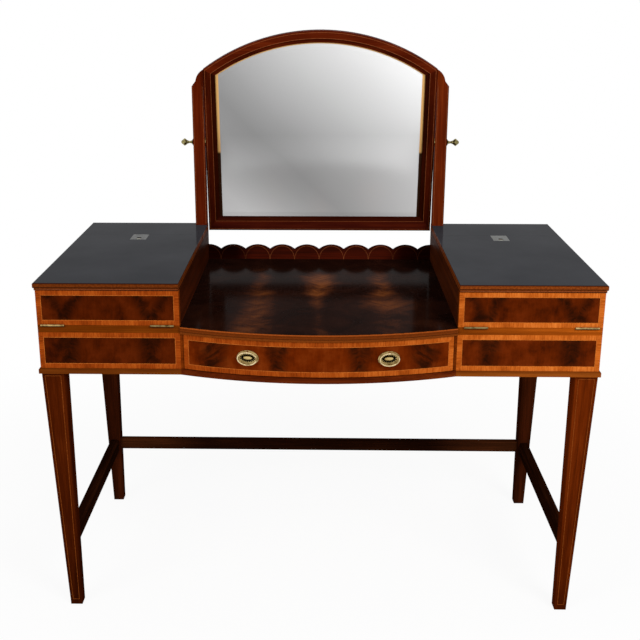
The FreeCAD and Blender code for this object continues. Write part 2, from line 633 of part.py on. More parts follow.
end_x = ring_half_x - RING_END_RADIUS
ring_drop = (end_x ** 2 - (ring_half_z - RING_END_RADIUS) ** 2) / (2 * (ring_half_z - RING_END_RADIUS))
ring_large = ring_half_z + ring_drop
half_turn = degrees(asin(end_x / (ring_large - RING_END_RADIUS)))
ring_sections = []
for side in (1, -1):
    large_centre = Vector(0, ring_y, -side * ring_drop)
    large_start = Vector(-side * ring_large * sin(radians(half_turn)), ring_y,
                         large_centre.z + side * ring_large * cos(radians(half_turn)))
    ring_sections += ring_arc(large_centre, large_start, 2 * half_turn)
    end_centre = Vector(side * end_x, ring_y, 0)
    reach = radians(90 - half_turn)
    end_start = Vector(end_centre.x + side * RING_END_RADIUS * cos(reach), ring_y,
                       side * RING_END_RADIUS * sin(reach))
    ring_sections += ring_arc(end_centre, end_start, 2 * (90 - half_turn))
pull_ring = stacked(ring_sections, looped=True)

x_pull = PULL_SPREAD / 2
pull_turn = degrees(asin(x_pull / face_radius))
pull_place = Vector(x_pull, bow_centre - sqrt(face_radius ** 2 - x_pull ** 2), (z_front_low + z_front_high) / 2)
for shape in (pull_plate, pull_ring):
    shape.rotate(ORIGIN, Z_AXIS, pull_turn)
    shape.translate(pull_place)


# Mirror: modelled upright about its pivot, then tilted to rest
def frame_section(width, place):
    """Moulded frame section: flat face, quirk and hollow down to the sight edge, rebate at the back."""
    flat = width - MOULD_WIDTH
    quirk = -frame_rear + MOULD_QUIRK
    sight = -frame_rear + SIGHT_DROP
    rebate = sight + SIGHT_THICK
    hollow_mid = ((flat + width) / 2 - MOULD_WIDTH * HOLLOW, (quirk + sight) / 2 + SIGHT_DROP * HOLLOW)
    edges = [line_edge(place(0, frame_rear), place(0, -frame_rear + FRAME_EDGE)),
             line_edge(place(0, -frame_rear + FRAME_EDGE), place(FRAME_EDGE, -frame_rear)),
             line_edge(place(FRAME_EDGE, -frame_rear), place(flat, -frame_rear)),
             line_edge(place(flat, -frame_rear), place(flat, quirk)),
             arc_edge(place(flat, quirk), place(*hollow_mid), place(width, sight)),
             line_edge(place(width, sight), place(width, rebate)),
             line_edge(place(width, rebate), place(width - REBATE_WIDTH, rebate)),
             line_edge(place(width - REBATE_WIDTH, rebate), place(width - REBATE_WIDTH, frame_rear)),
             line_edge(place(width - REBATE_WIDTH, frame_rear), place(0, frame_rear))]
    return Part.Face(Part.Wire(edges))


def cut_side(first, second, reach):
    """A slab on the left of the line from first to second, in the frame's plane."""
    along = (second - first).normalize()
    away = Y_AXIS.cross(along) * -reach
    start = first - along * reach
    end = second + along * reach
    corners = [start, end, end + away, start + away]
    lift = Vector(0, FRAME_THICK, 0)
    return prism([corner - lift for corner in corners], 2 * FRAME_THICK, Y_AXIS)


sight_half = frame_half - FRAME_WIDTH
sight_radius = FRAME_ARCH_RADIUS - FRAME_WIDTH
z_frame_low = -FRAME_BELOW_PIVOT
z_sight_low = z_frame_low + FRAME_BOTTOM_WIDTH
z_spring = arch_centre + sqrt(FRAME_ARCH_RADIUS ** 2 - frame_half ** 2)
z_sight_spring = arch_centre + sqrt(sight_radius ** 2 - sight_half ** 2)
spring_outer = Vector(frame_half, 0, z_spring)
spring_sight = Vector(sight_half, 0, z_sight_spring)
low_sight = Vector(sight_half, 0, z_sight_low)
low_outer = low_sight + Vector(FRAME_WIDTH, 0, -FRAME_WIDTH)
reach = 2 * FRAME_ARCH_RADIUS
above_spring = cut_side(spring_sight, spring_outer, reach)
below_corner = cut_side(low_outer, low_sight, reach)

stile_face = frame_section(FRAME_WIDTH, lambda a, w: Vector(frame_half - a, w, z_frame_low))
stile = stile_face.extrude(Z_AXIS * (FRAME_BELOW_PIVOT + FRAME_ABOVE_PIVOT))
stile = stile.cut(above_spring).cut(below_corner)
stile_bore_start = Vector(frame_half - SPINDLE_DEPTH - BOLT_GAP, 0, 0)
stile = stile.cut(cylinder(SPINDLE_RADIUS + SPINDLE_FIT, FRAME_WIDTH, stile_bore_start, X_AXIS))

bottom_face = frame_section(FRAME_BOTTOM_WIDTH, lambda a, w: Vector(-frame_half, w, z_frame_low + a))
bottom_rail = bottom_face.extrude(X_AXIS * (2 * frame_half))
bottom_rail = bottom_rail.common(below_corner).common(mirrored(below_corner))

def on_arch(a, w):
    """Point of the arch's section at its right-hand end, past the mitre."""
    radius = FRAME_ARCH_RADIUS - a
    return Vector(radius * sin(arch_swing), w, arch_centre + radius * cos(arch_swing))


arch_swing = asin(frame_half / FRAME_ARCH_RADIUS) + radians(MITRE_SPARE)
arch_rail = frame_section(FRAME_WIDTH, on_arch).revolve(Vector(0, 0, arch_centre), Y_AXIS, -2 * degrees(arch_swing))
below_spring = cut_side(spring_outer, spring_sight, reach)
arch_rail = arch_rail.cut(below_spring).cut(mirrored(below_spring))


def mirror_outline(inset, y):
    """Outline inside the rebate: straight sides and foot, arched top."""
    half = sight_half + REBATE_WIDTH - inset
    low = z_sight_low - REBATE_WIDTH + inset
    radius = sight_radius + REBATE_WIDTH - inset
    spring = arch_centre + sqrt(radius ** 2 - half ** 2)
    left_low, right_low = Vector(-half, y, low), Vector(half, y, low)
    left_high, right_high = Vector(-half, y, spring), Vector(half, y, spring)
    return Part.Wire([line_edge(left_low, right_low), line_edge(right_low, right_high),
                      arc_edge(right_high, Vector(0, y, arch_centre + radius), left_high),
                      line_edge(left_high, left_low)])


rebate_y = -frame_rear + SIGHT_DROP + SIGHT_THICK
glass_y = rebate_y + GLASS_BED
bevel_y = glass_y + BEVEL_DROP
plate_body = Part.Face(mirror_outline(GLASS_FIT, bevel_y)).extrude(Y_AXIS * (GLASS_THICK - BEVEL_DROP))
bevel = Part.makeLoft([mirror_outline(GLASS_FIT, bevel_y), mirror_outline(GLASS_FIT + BEVEL_WIDTH, glass_y)],
                      True, True)
mirror_glass = plate_body.fuse(bevel).removeSplitter()
board_y = glass_y + GLASS_THICK
mirror_back = Part.Face(mirror_outline(GLASS_FIT, board_y)).extrude(Y_AXIS * BACKBOARD_THICK)

mirror_pieces = {"mirror_right_stile": stile, "mirror_left_stile": mirrored(stile),
                 "mirror_bottom_rail": bottom_rail, "mirror_arch_rail": arch_rail,
                 "mirror_glass": mirror_glass, "mirror_back_board": mirror_back}
for shape in mirror_pieces.values():
    shape.rotate(ORIGIN, X_AXIS, MIRROR_TILT)
    shape.translate(Vector(0, y_pivot, z_pivot))

# Knobs: turned ball, neck and collar on a spindle that runs through the upright into the stile
x_collar = x_upright_outer + SEAT_GAP
x_neck = x_collar + COLLAR_THICK
x_ball = x_upright_outer + KNOB_REACH
x_spindle = frame_half - SPINDLE_DEPTH
neck_angle = 180 - degrees(asin(KNOB_NECK_RADIUS / KNOB_RADIUS))


def knob_outline(x, radius):
    return many_sided(radius, KNOB_SIDES, Vector(x, y_pivot, z_pivot), X_AXIS, Z_AXIS)


knob_outlines = [knob_outline(x_collar, COLLAR_RADIUS), knob_outline(x_neck, KNOB_NECK_RADIUS)]
for step in range(BALL_STEPS):
    turn = radians(neck_angle * (1 - step / BALL_STEPS))
    knob_outlines.append(knob_outline(x_ball + KNOB_RADIUS * cos(turn), KNOB_RADIUS * sin(turn)))
spindle = cylinder(SPINDLE_RADIUS, x_neck - x_spindle, Vector(x_spindle, y_pivot, z_pivot), X_AXIS)
pivot_knob = stacked(knob_outlines).fuse(spindle)
washer_base = Vector(frame_half + SEAT_GAP, y_pivot, z_pivot)
washer_thick = FRAME_GAP - SEAT_GAP
washer = bar(WASHER_RADIUS, washer_thick, washer_base, X_AXIS)
washer = washer.cut(bar_bore(SPINDLE_RADIUS + WASHER_FIT, washer_thick, washer_base, X_AXIS))

# Named pieces: pairs first, then the ones on the centre line
pairs = {
    "front_leg": front_leg, "rear_leg": rear_leg, "stretcher": side_stretcher, "base_board": base_board,
    "apron": apron, "outer_side": outer_side, "partition": partition, "rear_top": rear_top,
    "upright": upright, "lid": lid, "fall_front": fall_front, "bolt": bolt,
    "bolt_plate": Part.makeCompound(bolt_fittings),
    "pivot_knob": pivot_knob, "pull_ring": pull_ring,
    "hinge_moving_leaves": Part.makeCompound(moving_leaves),
}
groups = {"front_rails": [front_rail], "box_backs": [box_back], "seam_panels": [seam_panel],
          "upright_blocks": [upright_block], "hinge_fixed_leaves": fixed_leaves,
          "drawer_guides": [drawer_guide], "drawer_runners": [drawer_runner],
          "drawer_kickers": [kicker], "drawer_stops": [drawer_stop], "drawer_sides": [drawer_side],
          "pull_plates": [pull_plate], "pivot_washers": [washer]}
nodes = {"rear_stretcher": rear_stretcher, "well_top": well_top, "drawer_rail": drawer_rail,
         "back_rail": back_rail, "gallery": gallery, "drawer_front": drawer_front,
         "drawer_bottom": drawer_bottom, "drawer_back": drawer_back}
nodes.update(mirror_pieces)
for name, shape in pairs.items():
    nodes["right_" + name] = shape
    nodes["left_" + name] = mirrored(shape)
for name, shapes in groups.items():
    nodes[name] = Part.makeCompound(shapes + [mirrored(shape) for shape in shapes])

# The origin is the middle of the floor area: the bow in front, the foot of the tilted mirror behind
tilt = radians(MIRROR_TILT)
y_rearmost = max(TABLE_DEPTH, y_pivot + FRAME_BELOW_PIVOT * sin(tilt) + frame_rear * cos(tilt))
y_middle = (y_rearmost - BOW) / 2

os.makedirs("parts", exist_ok=True)
for name, shape in nodes.items():
    placed = shape.copy()
    placed.translate(Vector(0, -y_middle, 0))
    placed.exportStep("parts/" + name + ".step")
    print(name, len(placed.Solids), "solids", round(placed.Volume / 1000, 2), "cm3", placed.isValid())
print(len(nodes), "nodes, y_middle", round(y_middle, 3))
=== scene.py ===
# %% [markdown]
# # A bow-fronted dressing table with a swing mirror
# The table stands on four tapered legs. Two boxes with folding covers flank a polished well, a curved
# drawer lies under the well, and an arched mirror swings between two uprights. The CAD model is loaded
# first and never changed: this lesson paints it and adds the veneers, inlaid lines and brass that a
# cabinet maker adds to a finished carcase.

import json
import math

import bmesh
import bpy
from mathutils import Matrix, Vector


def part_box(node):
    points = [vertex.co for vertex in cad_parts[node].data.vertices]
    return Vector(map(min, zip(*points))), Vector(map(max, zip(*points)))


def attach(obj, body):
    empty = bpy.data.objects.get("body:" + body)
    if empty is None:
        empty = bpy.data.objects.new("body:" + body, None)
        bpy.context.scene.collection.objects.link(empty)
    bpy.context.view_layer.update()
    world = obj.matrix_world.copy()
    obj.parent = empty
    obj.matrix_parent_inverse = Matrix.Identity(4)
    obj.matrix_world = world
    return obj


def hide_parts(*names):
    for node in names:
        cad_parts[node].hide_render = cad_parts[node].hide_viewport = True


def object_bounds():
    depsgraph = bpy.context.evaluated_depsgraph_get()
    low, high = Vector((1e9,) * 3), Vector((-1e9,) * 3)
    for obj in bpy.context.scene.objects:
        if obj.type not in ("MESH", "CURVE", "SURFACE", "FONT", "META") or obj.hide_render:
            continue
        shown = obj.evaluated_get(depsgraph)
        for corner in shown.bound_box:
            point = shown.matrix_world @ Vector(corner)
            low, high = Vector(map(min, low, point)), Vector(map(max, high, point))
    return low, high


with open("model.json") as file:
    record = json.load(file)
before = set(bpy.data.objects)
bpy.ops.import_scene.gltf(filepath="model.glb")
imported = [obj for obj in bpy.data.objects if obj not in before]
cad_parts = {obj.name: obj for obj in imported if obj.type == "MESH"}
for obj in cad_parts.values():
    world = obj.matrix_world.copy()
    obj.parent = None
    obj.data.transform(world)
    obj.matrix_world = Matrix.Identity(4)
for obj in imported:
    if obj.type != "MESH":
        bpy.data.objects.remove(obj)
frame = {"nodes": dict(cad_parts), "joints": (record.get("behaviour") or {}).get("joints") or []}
nodes = frame["nodes"]
joints = {joint["name"]: joint for joint in frame["joints"]}
cad_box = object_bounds()
scene = bpy.context.scene
MM = 0.001
SIDES = {"left": -1, "right": 1}
FORWARD, UP = Vector((0, -1, 0)), Vector((0, 0, 1))
print("loaded", len(nodes), "nodes, box", [round(v, 3) for v in cad_box[1] - cad_box[0]])

# %% [markdown]
# ## The camera
# The photograph looks down on the table from in front of its middle, with a lens a little longer than
# normal. The eye and the three angles come from fitting the corners of the tops, the feet and the mirror,
# and a small shift of the lens stands for a picture that was cropped off its centre. Setting the camera's
# matrix directly keeps the angles free of any order of turning.

# %% Camera
EYE = Vector((0.003423, -2.348024, 1.381875))
PITCH, YAW, ROLL = (math.radians(angle) for angle in (17.17238, -1.3859, -0.10403))
LENS, SENSOR, FAR_CLIP = 56.97421, 36.0, 60.0
LENS_SHIFT = (0.03642, -0.015951)
across = Vector((math.cos(YAW), -math.sin(YAW), 0))
ahead = Vector((math.sin(YAW), math.cos(YAW), 0))
looking = ahead * math.cos(PITCH) - Vector((0, 0, math.sin(PITCH)))
upward = ahead * math.sin(PITCH) + Vector((0, 0, math.cos(PITCH)))
right_hand = across * math.cos(ROLL) + upward * math.sin(ROLL)
head_up = upward * math.cos(ROLL) - across * math.sin(ROLL)
camera_data = bpy.data.cameras.new("camera")
camera_data.sensor_width = SENSOR
camera_data.lens = LENS
camera_data.shift_x, camera_data.shift_y = LENS_SHIFT
camera_data.clip_end = FAR_CLIP
camera = bpy.data.objects.new("camera", camera_data)
camera_turn = Matrix((right_hand, head_up, -looking)).transposed()
camera.matrix_world = Matrix.Translation(EYE) @ camera_turn.to_4x4()
scene.collection.objects.link(camera)
scene.camera = camera
print("camera", [round(v, 3) for v in EYE], "lens", LENS)

# %% [markdown]
# ## Small helpers for node trees
# Every finish below is a tree of shader nodes, and whatever repeats is a tree of geometry nodes. They
# could be wired one by one, but a few short functions that add a node, do a sum or spread a colour ramp
# let each tree read like a recipe.


# %% Wiring helpers
def add(tree, kind, **settings):
    node = tree.nodes.new(kind)
    for key, value in settings.items():
        setattr(node, key, value)
    return node


def feed(tree, socket, value):
    """Sets a number on a socket, or links another node's output to it."""
    if isinstance(value, bpy.types.NodeSocket):
        tree.links.new(value, socket)
    else:
        socket.default_value = value


def wired(tree, kind, inputs, **settings):
    """Adds a node, feeds its named inputs and gives back its first output."""
    node = add(tree, kind, **settings)
    for label, value in inputs.items():
        feed(tree, node.inputs[label], value)
    return node.outputs[0]


def in_order(tree, node, values):
    """Feeds a node's inputs one after the other and gives back its first output."""
    for socket, value in zip(node.inputs, values):
        feed(tree, socket, value)
    return node.outputs[0]


print("wiring helpers ready")


# %% Sums and patterns
def maths(tree, operation, *values):
    return in_order(tree, add(tree, "ShaderNodeMath", operation=operation), values)


def weighed(tree, first, share, second, other_share):
    """Two patterns added up, each by its share."""
    return maths(tree, "MULTIPLY_ADD", first, share, maths(tree, "MULTIPLY", second, other_share))


def stirred(tree, pattern, amount, base):
    """Adds a pattern to base about its own middle, so that the mean stays."""
    return maths(tree, "MULTIPLY_ADD", maths(tree, "SUBTRACT", pattern, 0.5), amount, base)


def spread(tree, value, low, high, to_low=0.0, to_high=1.0):
    """A smooth step of value between low and high."""
    node = add(tree, "ShaderNodeMapRange", interpolation_type="SMOOTHSTEP")
    return in_order(tree, node, (value, low, high, to_low, to_high))


def coordinates(tree, output="Object", scale=(1, 1, 1), place=(0, 0, 0), turned=(0, 0, 0)):
    source = add(tree, "ShaderNodeTexCoord").outputs[output]
    inputs = {"Vector": source, "Location": place, "Rotation": turned, "Scale": scale}
    return wired(tree, "ShaderNodeMapping", inputs)


def parts(tree, vector):
    node = add(tree, "ShaderNodeSeparateXYZ")
    feed(tree, node.inputs[0], vector)
    return node.outputs


def noise(tree, place, scale, detail=3.0, rough=0.55, warp=0.0):
    inputs = {"Vector": place, "Scale": scale, "Detail": detail, "Roughness": rough, "Distortion": warp}
    return wired(tree, "ShaderNodeTexNoise", inputs)


print("sums and patterns ready")


# %% Colours
def srgb(red, green, blue):
    """A colour as a painter mixes it, 0 to 255, turned into the linear light that shaders use."""
    shares = (channel / 255 for channel in (red, green, blue))
    linear = [v / 12.92 if v <= 0.04045 else ((v + 0.055) / 1.055) ** 2.4 for v in shares]
    return (*linear, 1.0)


def ramp(tree, value, *stops):
    node = add(tree, "ShaderNodeValToRGB")
    feed(tree, node.inputs[0], value)
    stones = node.color_ramp.elements
    while len(stones) < len(stops):
        stones.new(0.5)
    for stone, (position, colour) in zip(stones, stops):
        stone.position = position
        stone.color = colour
    return node.outputs[0]


def stained(tree, value, *stops):
    """A ramp whose stops are positions and colours, given 0 to 255."""
    return ramp(tree, value, *((position, srgb(*tone)) for position, tone in stops))


def mixed(tree, factor, first, second):
    node = add(tree, "ShaderNodeMix", data_type="RGBA")
    for index, value in ((0, factor), (6, first), (7, second)):
        feed(tree, node.inputs[index], value)
    return node.outputs[2]


def scaled(tree, colour, factor):
    node = add(tree, "ShaderNodeVectorMath", operation="SCALE")
    feed(tree, node.inputs[0], colour)
    feed(tree, node.inputs["Scale"], factor)
    return node.outputs[0]


print("colours ready")


# %% Finishes
def start_finish(name, roughness=0.35, specular=0.1, metallic=0.0):
    material = bpy.data.materials.new(name)
    material.use_nodes = True
    shader = material.node_tree.nodes["Principled BSDF"]
    shader.inputs["Roughness"].default_value = roughness
    shader.inputs["Specular IOR Level"].default_value = specular
    shader.inputs["Metallic"].default_value = metallic
    return material, material.node_tree, shader


RELIEF_DEPTH = 0.3 * MM


def skin(tree, shader, colour, pattern, gloss, bump):
    """Colour, uneven gloss and a slight relief, the last two from the same pattern."""
    relief = {"Strength": bump, "Distance": RELIEF_DEPTH, "Height": pattern}
    feed(tree, shader.inputs["Base Color"], colour)
    feed(tree, shader.inputs["Roughness"], spread(tree, pattern, 0.25, 0.75, *gloss))
    feed(tree, shader.inputs["Normal"], wired(tree, "ShaderNodeBump", relief))


def repainted(material, change):
    """Passes a finish's colour through one more step, change(tree, colour)."""
    tree = material.node_tree
    base = tree.nodes["Principled BSDF"].inputs["Base Color"]
    feed(tree, base, change(tree, base.links[0].from_socket))
    return material


def tinted(material, span, levels, signed=False):
    """Scales a finish's colour across the table, from one level to another between two distances from
    its middle. Both sides are alike unless the distance is signed."""
    def tint(tree, colour):
        distance = parts(tree, coordinates(tree))[0]
        if not signed:
            distance = maths(tree, "ABSOLUTE", distance)
        return scaled(tree, colour, spread(tree, distance, *span, *levels))
    return repainted(material, tint)


print("finishes ready")

# %% [markdown]
# ## The studio
# The object stands on a plain pale floor in front of white. The world is white where the camera, a
# polished top or the brass sees it, and dimmer as a lamp, so white surroundings don't bleach the dark
# wood. The floor does the same, and keeps a soft shadow. Two wide lamps stand in for studio softboxes,
# the stronger one at the right, which is the side from which the photograph is lit.

# %% World
WHITE = (1, 1, 1, 1)
ROOM_LIGHT, ROOM_SEEN = 0.42, 1.0


def sees_background(tree):
    path = add(tree, "ShaderNodeLightPath").outputs
    seen = maths(tree, "MAXIMUM", path["Is Camera Ray"], path["Is Glossy Ray"])
    return maths(tree, "MAXIMUM", seen, path["Is Transmission Ray"])


scene.view_settings.view_transform = "Standard"
world = bpy.data.worlds.new("studio")
scene.world = world
world.use_nodes = True
sky = world.node_tree
sky.nodes.clear()
lit = wired(sky, "ShaderNodeBackground", {"Color": WHITE, "Strength": ROOM_LIGHT})
shown = wired(sky, "ShaderNodeBackground", {"Color": WHITE, "Strength": ROOM_SEEN})
chosen = in_order(sky, add(sky, "ShaderNodeMixShader"), (sees_background(sky), lit, shown))
feed(sky, add(sky, "ShaderNodeOutputWorld").inputs["Surface"], chosen)
print("world: seen white, lights the room at", ROOM_LIGHT)

# %% Floor and lamps
FLOOR_HALF, FLOOR_GREY = 12.0, (0.9, 0.9, 0.9, 1)
SHADOW_SPAN, SHADOW_WHITE = (0.6, 2.0), (0.92, 1.0)
corners = [(x * FLOOR_HALF, y * FLOOR_HALF, cad_box[0].z) for x, y in ((-1, -1), (1, -1), (1, 1), (-1, 1))]
floor_mesh = bpy.data.meshes.new("floor")
floor_mesh.from_pydata(corners, [], [(0, 1, 2, 3)])
floor = bpy.data.objects.new("floor", floor_mesh)
scene.collection.objects.link(floor)
floor_paint, tree, shader = start_finish("pale_floor", roughness=0.9, specular=0.0)
shader.inputs["Base Color"].default_value = FLOOR_GREY
from_middle = add(tree, "ShaderNodeVectorMath", operation="LENGTH")
feed(tree, from_middle.inputs[0], coordinates(tree))
whiteness = spread(tree, from_middle.outputs["Value"], *SHADOW_SPAN, *SHADOW_WHITE)
seen_white = maths(tree, "MULTIPLY", sees_background(tree), whiteness)
glow = wired(tree, "ShaderNodeEmission", {"Color": WHITE})
both = in_order(tree, add(tree, "ShaderNodeMixShader"), (seen_white, shader.outputs[0], glow))
feed(tree, tree.nodes["Material Output"].inputs["Surface"], both)
floor_mesh.materials.append(floor_paint)

AIM = Vector((0, 0, 0.7))
LAMPS = (("key", (1.9, -2.7, 2.7), 1.8, 95), ("fill", (-2.4, -2.6, 1.9), 2.2, 48))
for name, stand, size, power in LAMPS:
    lamp = bpy.data.lights.new(name, "AREA")
    lamp.shape = "DISK"
    lamp.size = size
    lamp.energy = power
    softbox = bpy.data.objects.new(name, lamp)
    softbox.location = stand
    softbox.rotation_euler = (AIM - Vector(stand)).to_track_quat("-Z", "Y").to_euler()
    softbox.visible_glossy = False
    scene.collection.objects.link(softbox)
print("studio: a floor and", len(LAMPS), "lamps")

# %% [markdown]
# ## Straight-grained mahogany
# Legs, rails and mouldings are sawn from straight boards: long fine pores and slow bands of light and
# dark, both drawn out along the board. Stretched noise in Object coordinates gives that without any
# unwrapping, and the same recipe serves every board once it is told which way the grain runs. Some
# boards carry painted light: the front rail and the base boards are painted lighter towards the right of
# the table, the lamp side, and the rear stretcher is painted lighter towards its ends, so these are
# tinted across the width. The stretchers' nearly black tone is painted shade under the table, and the
# right front leg is lighter than the left, partly in its own tone and partly by painted light from the right.

# %% Straight wood
SATIN, POLISHED, RAW = (0.3, 0.45), (0.22, 0.36), (0.5, 0.7)
TONE_STOPS = (0.34, 0.5, 0.66)
DRAWN_OUT = 0.03
PORE_RELIEF = 0.12
FOOT_SPAN = (0.0, 0.55)


def straight_wood(name, tones, along, gloss=SATIN, specular=0.001, foot=1.0):
    """Tones run from dark to light; foot scales the colour of what stands near the floor."""
    material, tree, shader = start_finish(name, specular=specular)
    stretch = [1.0, 1.0, 1.0]
    stretch["xyz".index(along)] = DRAWN_OUT
    grain = coordinates(tree, scale=stretch)
    pores = noise(tree, grain, 420, 3, 0.6)
    bands = noise(tree, grain, 36, 4, 0.6, 0.6)
    cloud = noise(tree, coordinates(tree), 5, 2)
    figure = stirred(tree, cloud, 0.3, weighed(tree, pores, 0.35, bands, 0.65))
    colour = stained(tree, figure, *zip(TONE_STOPS, tones))
    height = parts(tree, coordinates(tree))[2]
    colour = scaled(tree, colour, spread(tree, height, *FOOT_SPAN, foot, 1.0))
    skin(tree, shader, colour, pores, gloss, PORE_RELIEF)
    return material


print("straight wood ready")

# %% Carcase woods
# The right leg's lighter tones are partly the wood's own and partly painted light from the right.
LEG_LEFT = ((44, 12, 1), (66, 21, 2), (86, 32, 5))
LEG_RIGHT = ((64, 20, 2), (88, 30, 3), (110, 42, 7))
SHADED = ((30, 9, 2), (46, 16, 4), (66, 25, 8))
LIT = ((44, 16, 4), (64, 26, 8), (88, 40, 14))
# Painted shade: the stretchers low under the table get nearly black tones.
STRETCHER_IN_SHADE = ((16, 5, 2), (28, 10, 3), (46, 20, 7))
MOULDING = ((74, 30, 5), (95, 44, 8), (118, 58, 14))
RAIL = ((72, 26, 3), (97, 37, 4), (118, 50, 8))
FRONT_RAIL = ((70, 28, 3), (95, 41, 4), (116, 55, 9))
BOW_RAIL = ((58, 18, 4), (80, 28, 6), (102, 42, 10))
OUTER_SIDE = ((70, 24, 4), (92, 33, 6), (116, 48, 12))
LINING = ((134, 98, 60), (164, 124, 80), (188, 150, 104))
painted = {
    "left_front_leg": straight_wood("leg_mahogany_left", LEG_LEFT, "z", specular=0.0, foot=0.6),
    "right_front_leg": straight_wood("leg_mahogany_right", LEG_RIGHT, "z", specular=0.0, foot=0.6),
    "left_partition": straight_wood("shaded_mahogany_deep", SHADED, "y"),
    "right_partition": straight_wood("lit_mahogany_deep", LIT, "y"),
    "drawer_rail": straight_wood("bow_rail_mahogany", BOW_RAIL, "x"),
}
shaded_upright = straight_wood("shaded_mahogany_upright", SHADED, "z", specular=0.0)
stretcher_wide = straight_wood("stretcher_mahogany_wide_shade_and_light", STRETCHER_IN_SHADE, "x", specular=0.0)
stretcher_deep = straight_wood("stretcher_mahogany_deep_in_shade", STRETCHER_IN_SHADE, "y", specular=0.0)
moulded = straight_wood("moulded_mahogany", MOULDING, "x", gloss=POLISHED)
rail = straight_wood("rail_mahogany", RAIL, "x")
front_rail = straight_wood("front_rail_mahogany", FRONT_RAIL, "x")
side_wood = straight_wood("side_mahogany", OUTER_SIDE, "y")
lining = straight_wood("drawer_lining_wood", LINING, "y", gloss=RAW)
lining_wide = straight_wood("back_lining_wood", LINING, "x", gloss=RAW)
# Painted light: the rear stretcher is painted lighter at its ends, the front rail and the base boards towards the
# right, the lamp side.
tinted(stretcher_wide, (0.3, 0.43), (1.0, 3.2))
tinted(front_rail, (0.1, 0.7), (0.95, 2.75), signed=True)
tinted(moulded, (0.0, 0.55), (1.0, 1.32), signed=True)
for side in SIDES:
    painted[side + "_rear_leg"] = shaded_upright
    painted[side + "_stretcher"] = stretcher_deep
    painted[side + "_base_board"] = moulded
    painted[side + "_outer_side"] = side_wood
    painted[side + "_apron"] = painted[side + "_fall_front"] = rail
painted.update(rear_stretcher=stretcher_wide, front_rails=front_rail, drawer_front=rail, drawer_guides=rail)
painted.update(dict.fromkeys(("drawer_sides", "drawer_runners", "drawer_kickers", "drawer_stops"), lining))
painted.update(dict.fromkeys(("drawer_bottom", "drawer_back", "back_rail", "box_backs"), lining_wide))
painted.update(dict.fromkeys(("seam_panels", "upright_blocks", "mirror_back_board"), lining_wide))
print("straight woods for", len(painted), "nodes")

# %% [markdown]
# ## The dark tops
# The box tops are stained nearly black and polished, with brown moulded edges. One node holds both, so
# the finish asks how high a point is: the flat upper face is dark, and whatever lies lower is moulding,
# with painted shade drawn as dark lines along its quirks. The brown edges are painted lighter towards the
# right of the table, painted light from the lamp side. A very low specular level keeps the white room from
# greying the black, low roughness keeps the reflection of the upright crisp, and the edges are duller,
# because a glossy edge seen at a slant would flash white.

# %% Dark tops
# Painted shade: dark lines along the quirks of the lids' moulded edges.
SHADE_LINE, PLAIN = (0.9, 0.9, 0.9, 1), (0, 0, 0, 1)
LID_SHADE_LINES = (
    (0.0, SHADE_LINE), (0.1, SHADE_LINE), (0.16, PLAIN), (0.5, PLAIN), (0.54, SHADE_LINE),
    (0.6, SHADE_LINE), (0.64, PLAIN), (0.84, PLAIN), (0.88, SHADE_LINE))
FLAT_DEPTH, EDGE_DULLNESS = 0.4 * MM, 0.4
EDGE_SPAN, EDGE_LIGHT_LEVELS = (-0.3, 0.5), (0.92, 1.4)
lid_low, lid_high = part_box("left_lid")
dark_top, tree, shader = start_finish("black_stained_top", specular=0.003)
x, _, height = parts(tree, coordinates(tree))
flat_face = maths(tree, "GREATER_THAN", height, lid_high.z - FLAT_DEPTH)
pores = noise(tree, coordinates(tree, scale=(1.0, 0.04, 1.0)), 260, 3, 0.6)
cloud = noise(tree, coordinates(tree), 6, 3)
black = stained(tree, cloud, (0.3, (49, 50, 54)), (0.7, (58, 59, 63)))
brown = stained(tree, pores, (0.3, (76, 30, 6)), (0.7, (112, 52, 14)))
# Painted light: the brown edges grow lighter towards the right, the lamp side.
brown = scaled(tree, brown, spread(tree, x, *EDGE_SPAN, *EDGE_LIGHT_LEVELS))
fall = maths(tree, "DIVIDE", maths(tree, "SUBTRACT", lid_high.z, height), lid_high.z - lid_low.z)
edge = mixed(tree, ramp(tree, fall, *LID_SHADE_LINES), brown, srgb(40, 14, 6))
skin(tree, shader, mixed(tree, flat_face, edge, black), pores, (0.07, 0.11), 0.015)
polish = shader.inputs["Roughness"].links[0].from_socket
off_flat = maths(tree, "SUBTRACT", 1.0, flat_face)
feed(tree, shader.inputs["Roughness"], maths(tree, "MULTIPLY_ADD", off_flat, EDGE_DULLNESS, polish))
for side in SIDES:
    painted[side + "_lid"] = painted[side + "_rear_top"] = dark_top
print("dark tops at", round(lid_high.z, 4))

# %% [markdown]
# ## The well
# The well between the boxes is veneered with flame mahogany, cut from the fork of a tree: light plumes of
# streaks fan out of the dark board. An image could carry them, but a recipe bakes at any size. Each plume
# has a stem, a width that changes along the board and a strength that fades. Noise that is bent into a
# feather round the stem gives the streaks, and the brightest plume wins where two meet. Next to the
# gallery the figure is lost in painted shade. The front lip is a moulding, told from the flat board by its
# height, with a painted highlight along its top edge and a painted line of shade below it.


# %% Feathered grain
def feather(tree, across_board, along_board, stem, lean, fine):
    """Streaks that leave a stem on both sides and lean along the board."""
    aside = maths(tree, "SUBTRACT", across_board, stem)
    apart = maths(tree, "ABSOLUTE", aside)
    slant = maths(tree, "MULTIPLY_ADD", apart, -lean, along_board)
    vector = wired(tree, "ShaderNodeCombineXYZ", {"X": maths(tree, "MULTIPLY", aside, 0.4), "Y": slant})
    return apart, noise(tree, vector, fine, 5, 0.6, 0.9)


